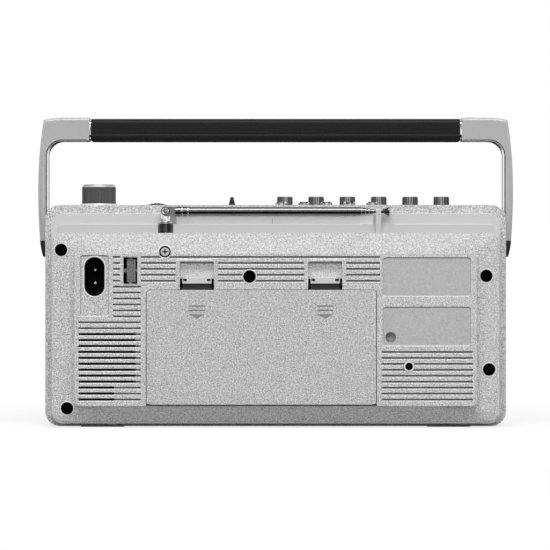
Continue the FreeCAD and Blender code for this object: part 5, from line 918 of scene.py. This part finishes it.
def capped(loops):
    """The loops with each end gathered into one point, the mean of its loop, so that the piece closes."""
    middles = loops.mean(axis=1, keepdims=True).repeat(loops.shape[1], axis=1)
    return np.concatenate([middles[:1], loops, middles[-1:]])


def liner_path(side, offset, samples=72):
    """Points at an offset outside the inner contour: straight up, a quarter circle, then straight in.

    Each point is middle + normal * (radius + offset), where normal = (side * cos a, 0, sin a), and a is the
    length travelled past the climb, over the radius, held between 0 and a quarter turn."""
    edge, round_high, radius, start, end = 149.5 * MM, 176 * MM, 10 * MM, 124 * MM, 123.2 * MM
    climb, turn, run = round_high - start, radius * np.pi / 2, edge - radius - end
    travel = np.linspace(0, climb + turn + run, samples)
    angle = np.clip((travel - climb) / radius, 0, np.pi / 2)
    normal = spokes(angle) * (side, 1, 1)
    across = (edge - radius - np.clip(travel - climb - turn, 0, None)) * side
    high = np.where(travel < climb, start + travel, round_high)
    middle = np.stack([across, np.zeros(samples), high], axis=1)
    return middle + normal * (radius + offset)


def strip(name, side, near, far, front, back, finish):
    """A rectangle between two offsets and two depths, carried along the contour and closed at its ends."""
    inner, outer = liner_path(side, near), liner_path(side, far)
    edges = [inner + (0, front, 0), outer + (0, front, 0), outer + (0, back, 0), inner + (0, back, 0)]
    grid_piece(name, capped(np.stack(edges, axis=1)), finish, body_of["handle_arm_left"], wrap=(False, True))


arm_low, arm_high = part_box("handle_arm_left")
# Painted shade: the dark strip on the inner wall; the thin dark edges share its material.
dark_liner_and_shade = moulded("dark liner and painted shade", grey(40), 0.5)
STRIPS = (
    ("liner_edge", 0.1, 0.55, arm_high[1] - 0.4 * MM, arm_high[1] + 0.12 * MM, dark_liner_and_shade),
    ("liner_front", 0.1, 0.55, arm_low[1] - 0.12 * MM, arm_low[1] + 0.4 * MM, dark_liner_and_shade),
    ("liner", -0.28, 0.2, arm_low[1] + 10 * MM, arm_high[1] - 1.2 * MM, trim_chrome),
    ("liner_shade", -0.2, 0.2, arm_low[1] + 1.2 * MM, arm_low[1] + 9.6 * MM, dark_liner_and_shade))
for side, label in ((1, "left"), (-1, "right")):
    for name, near, far, front, back, finish in STRIPS:
        strip(f"{name}_{label}", side, near * MM, far * MM, front, back, finish)
print("liner strips", 2 * len(STRIPS))


# %% [markdown]
# ## Rims of the finger pockets
#
# Each latch lies in a pocket whose edge is rounded at the top and catches the light. As with the wells, a
# bead of its own saves changing the case: it runs up one side, round the two upper corners and down the
# other side. The path is a line at a fixed distance from a smaller rectangle, so its corners are quarter
# circles.

# %% Pocket rims


def carried(path, outward, minor, around):
    """A round bead along a path: path + minor * (cos b * outward + sin b * y), with b round the bead."""
    turn = np.linspace(0, 2 * np.pi, around, endpoint=False)[None, :, None]
    bulge = np.cos(turn) * outward[:, None, :] + np.sin(turn) * np.array([0.0, 1.0, 0.0])
    return path[:, None, :] + minor * bulge


def pocket_rim(name, middle, half, low, high, corner, level, minor, steps=90, around=10):
    """A bead along an arch: up, a quarter circle, across, a quarter circle and down, evenly in length.

    The path is centre + corner * (cos a, 0, sin a), where a falls from half a turn to 0 along the arch."""
    climb, turn, run = high - corner - low, corner * np.pi / 2, 2 * (half - corner)
    travel = np.linspace(0, 2 * climb + 2 * turn + run, steps)
    first = np.clip((travel - climb) / corner, 0, np.pi / 2)
    second = np.clip((travel - climb - turn - run) / corner, 0, np.pi / 2)
    angle = np.pi - first - second
    across = middle - (half - corner) + np.clip(travel - climb - turn, 0, run)
    climbed = np.clip(travel, 0, climb) - np.clip(travel - climb - 2 * turn - run, 0, climb)
    centre = np.stack([across, np.full(steps, level), low + climbed], axis=1)
    outward = spokes(angle)
    tube = carried(centre + outward * corner, outward, minor, around)
    grid_piece(name, capped(tube), trim_and_highlight_silver, body_of["rear_shell"], wrap=(False, True))


POCKET = {"half": 11.15 * MM, "low": 91.5 * MM, "high": 107.9 * MM, "corner": 2.6 * MM, "level": 48.9 * MM}
# The beads are painted paler than the case, as a painted highlight on the pocket's edge.
for side, middle in zip(("left", "right"), latch_middles):
    pocket_rim(f"pocket_rim_{side}", middle, minor=0.26 * MM, **POCKET)
print("pocket rims at", [round(middle / MM, 1) for middle in latch_middles])


# %% [markdown]
# ## The lip of the mains inlet
#
# The opening of the mains inlet has a rounded lip. It is a bead carried round a stadium, which is two
# half circles joined by straight runs. Four pieces could be joined, but the path comes from the angle
# alone: the point of a circle, pushed apart in height by half of the straight run.

# %% Inlet lip
LIP_HALF, LIP_TALL, LIP_BEAD = 6.95 * MM, 26.0 * MM, 0.5 * MM
inlet_middle = (115.9 * MM, 48.35 * MM, 97.0 * MM)


def stadium_bead(centre, half, tall, minor, steps=96, around=12):
    """A circle of the minor radius carried round a stadium of a half width and a height.

    The path is centre + half * (cos a, 0, sin a) + (0, 0, sign(sin a) * (tall / 2 - half))."""
    angle = np.linspace(0, 2 * np.pi, steps, endpoint=False)
    outward = spokes(angle)
    upper = np.sign(np.sin(angle) + 1e-9)
    lift = np.stack([np.zeros(steps), np.zeros(steps), upper * (tall / 2 - half)], axis=1)
    return carried(np.asarray(centre) + outward * half + lift, outward, minor, around)


lip = stadium_bead(inlet_middle, LIP_HALF, LIP_TALL, LIP_BEAD)
# The lip is painted paler than the case, as a painted highlight.
grid_piece("inlet_lip", lip, trim_and_highlight_silver, body_of["rear_shell"])
print("inlet lip", lip.shape[:2])


# %% [markdown]
# ## The floor
#
# A plain white floor would leave the object floating, and a grey one would show its edge. This one is
# pale and turns to plain white with distance. To the camera it glows, but only in part near the object,
# so that it keeps a soft shadow. To bounced light it is a mid grey, and to mirror-like surfaces it is
# nearly black, as a dark table would be: that gives the chrome its black lower half.

# %% Floor


def bare(name):
    """A material with only its output node, and its nodes and links."""
    surface = bpy.data.materials.new(name)
    surface.use_nodes = True
    nodes, links = surface.node_tree.nodes, surface.node_tree.links
    nodes.remove(nodes["Principled BSDF"])
    return surface, nodes, links


def floor_material(name, near_glow, radius):
    """Pale to the camera, grey to bounced light, nearly black to mirrors."""
    surface, nodes, links = bare(name)
    place, reach, glow, rays, matt_pale, matt_dim, shine, dark = (
        nodes.new(f"ShaderNode{kind}") for kind in (
            "TexCoord", "VectorMath", "MapRange", "LightPath", "BsdfDiffuse", "BsdfDiffuse", "Emission",
            "Emission"))
    reach.operation = "LENGTH"
    glow.interpolation_type = "SMOOTHSTEP"
    span = {"From Min": radius, "From Max": radius * 2, "To Min": near_glow, "To Max": 1.0}
    for socket, value in span.items():
        glow.inputs[socket].default_value = value
    for node, colour in ((matt_pale, (1, 1, 1, 1)), (matt_dim, grey(185)), (dark, grey(26))):
        node.inputs["Color"].default_value = colour
    pale, unseen, both = (nodes.new("ShaderNodeMixShader") for _ in range(3))
    for source, target in (
            (place.outputs["Object"], reach.inputs[0]), (reach.outputs["Value"], glow.inputs["Value"]),
            (glow.outputs[0], pale.inputs[0]), (matt_pale.outputs[0], pale.inputs[1]),
            (shine.outputs[0], pale.inputs[2]), (rays.outputs["Is Glossy Ray"], unseen.inputs[0]),
            (matt_dim.outputs[0], unseen.inputs[1]), (dark.outputs[0], unseen.inputs[2]),
            (rays.outputs["Is Camera Ray"], both.inputs[0]), (unseen.outputs[0], both.inputs[1]),
            (pale.outputs[0], both.inputs[2]),
            (both.outputs[0], nodes["Material Output"].inputs["Surface"])):
        links.new(source, target)
    return surface


def plane(name, corners, material):
    """A flat piece of the stage."""
    mesh = bpy.data.meshes.new(name)
    mesh.from_pydata(corners, [], [(0, 1, 2, 3)])
    mesh.materials.append(material)
    piece = placed(name, mesh)
    return piece


HALF, NEAR_GLOW, NEAR_RADIUS = 4.0, 0.72, 0.25
plane("floor", [(-HALF, -HALF, 0), (HALF, -HALF, 0), (HALF, HALF, 0), (-HALF, HALF, 0)],
      floor_material("pale floor", NEAR_GLOW, NEAR_RADIUS))
print("floor", 2 * HALF, "m wide")


# %% [markdown]
# ## Cards for the chrome
#
# Chrome shows only what stands round it, and with nothing there it looks dull. More lamps would help it
# but would also flatten the paint, so white cards stand round the stage instead. They glow, and only
# mirrors see them: three stand behind the camera with dark gaps between them, and a wide one stands far
# off on the other side of the object.

# %% Cards


def card_material(name, strength):
    """A plain white glow."""
    surface, nodes, links = bare(name)
    shine = nodes.new("ShaderNodeEmission")
    shine.inputs["Strength"].default_value = strength
    links.new(shine.outputs[0], nodes["Material Output"].inputs["Surface"])
    return surface


def mirror_card(name, left, right, along, low, high, strength):
    """A glowing upright card that only mirror-like surfaces see."""
    corners = [(left, along, low), (right, along, low), (right, along, high), (left, along, high)]
    card = plane(name, corners, card_material(name, strength))
    for kind in ("camera", "diffuse", "transmission", "volume_scatter", "shadow"):
        setattr(card, f"visible_{kind}", False)


mirror_card("far card", -2.5, 2.5, -3.2, 0.05, 1.6, 1.0)
for name, left, right in (("left card", -1.5, -0.9), ("middle card", -0.45, 0.3), ("right card", 0.75, 1.1)):
    mirror_card(name, left, right, 3.2, 0.02, 0.9, 1.1)


# %% [markdown]
# ## World and lamps
#
# The world could light everything from all sides, but then nothing would have a shape. Here it is white
# to the camera and dim to everything else, so that the background is even and the lamps do the modelling.
# Large lamps give soft light: one high behind the camera, one level with it, one in front of the object
# and one at each side. Mirrors don't see the level lamp, so they show the cards.

# %% Light
WORLD_LIGHT = 0.26
world = bpy.data.worlds.new("studio")
bpy.context.scene.world = world
world.use_nodes = True
nodes, links = world.node_tree.nodes, world.node_tree.links
rays = nodes.new("ShaderNodeLightPath")
level = nodes.new("ShaderNodeMapRange")
level.inputs["To Min"].default_value = WORLD_LIGHT
level.inputs["To Max"].default_value = 1.0
links.new(rays.outputs["Is Camera Ray"], level.inputs["Value"])
links.new(level.outputs[0], nodes["Background"].inputs["Strength"])
nodes["Background"].inputs["Color"].default_value = (1, 1, 1, 1)


def softbox(name, place, width, height, power, target=(0, 0, 0.08), mirrored=True):
    """A rectangular lamp that faces its target."""
    lamp = bpy.data.lights.new(name, "AREA")
    lamp.shape = "RECTANGLE"
    lamp.size, lamp.size_y = width, height
    lamp.energy = power
    holder = placed(name, lamp)
    holder.location = place
    direction = Vector(target) - Vector(place)
    holder.rotation_euler = direction.to_track_quat("-Z", "Y").to_euler()
    holder.visible_glossy = mirrored


softbox("high lamp", (0, 1.3, 1.9), 2.0, 1.2, 39)
softbox("level lamp", (0, 2.6, 0.6), 2.2, 1.2, 12.5, mirrored=False)
softbox("front lamp", (0, -2.2, 1.4), 2.2, 1.2, 13)
for side in (-1, 1):
    softbox(f"side lamp {side}", (side * 2.2, 0.4, 0.9), 1.2, 1.2, 10)
print("lamps", len(bpy.data.lights))


# %% [markdown]
# ## Camera
#
# The camera stands behind the player, level with the middle of the case, 2.1 m away. A short lens close
# by would show the sides of the stair, and a long one from afar keeps edges parallel and hides them.

# %% Camera
DISTANCE = 2.1
EYE_HEIGHT = 98.1 * MM
VIEW_WIDTH = 360.25 * MM
camera = bpy.data.cameras.new("camera")
camera.sensor_width = 36
camera.lens = camera.sensor_width * DISTANCE / VIEW_WIDTH
camera.clip_end = 20
viewer = placed("camera", camera)
viewer.location = (0.4 * MM, DISTANCE, EYE_HEIGHT)
viewer.rotation_euler = (math.pi / 2, 0, math.pi)
bpy.context.scene.camera = viewer
bpy.context.scene.view_settings.view_transform = "Standard"
print("lens", round(camera.lens, 1), "mm")


# %% [markdown] ## Closing the model

# %% Finish


print("model dressed")
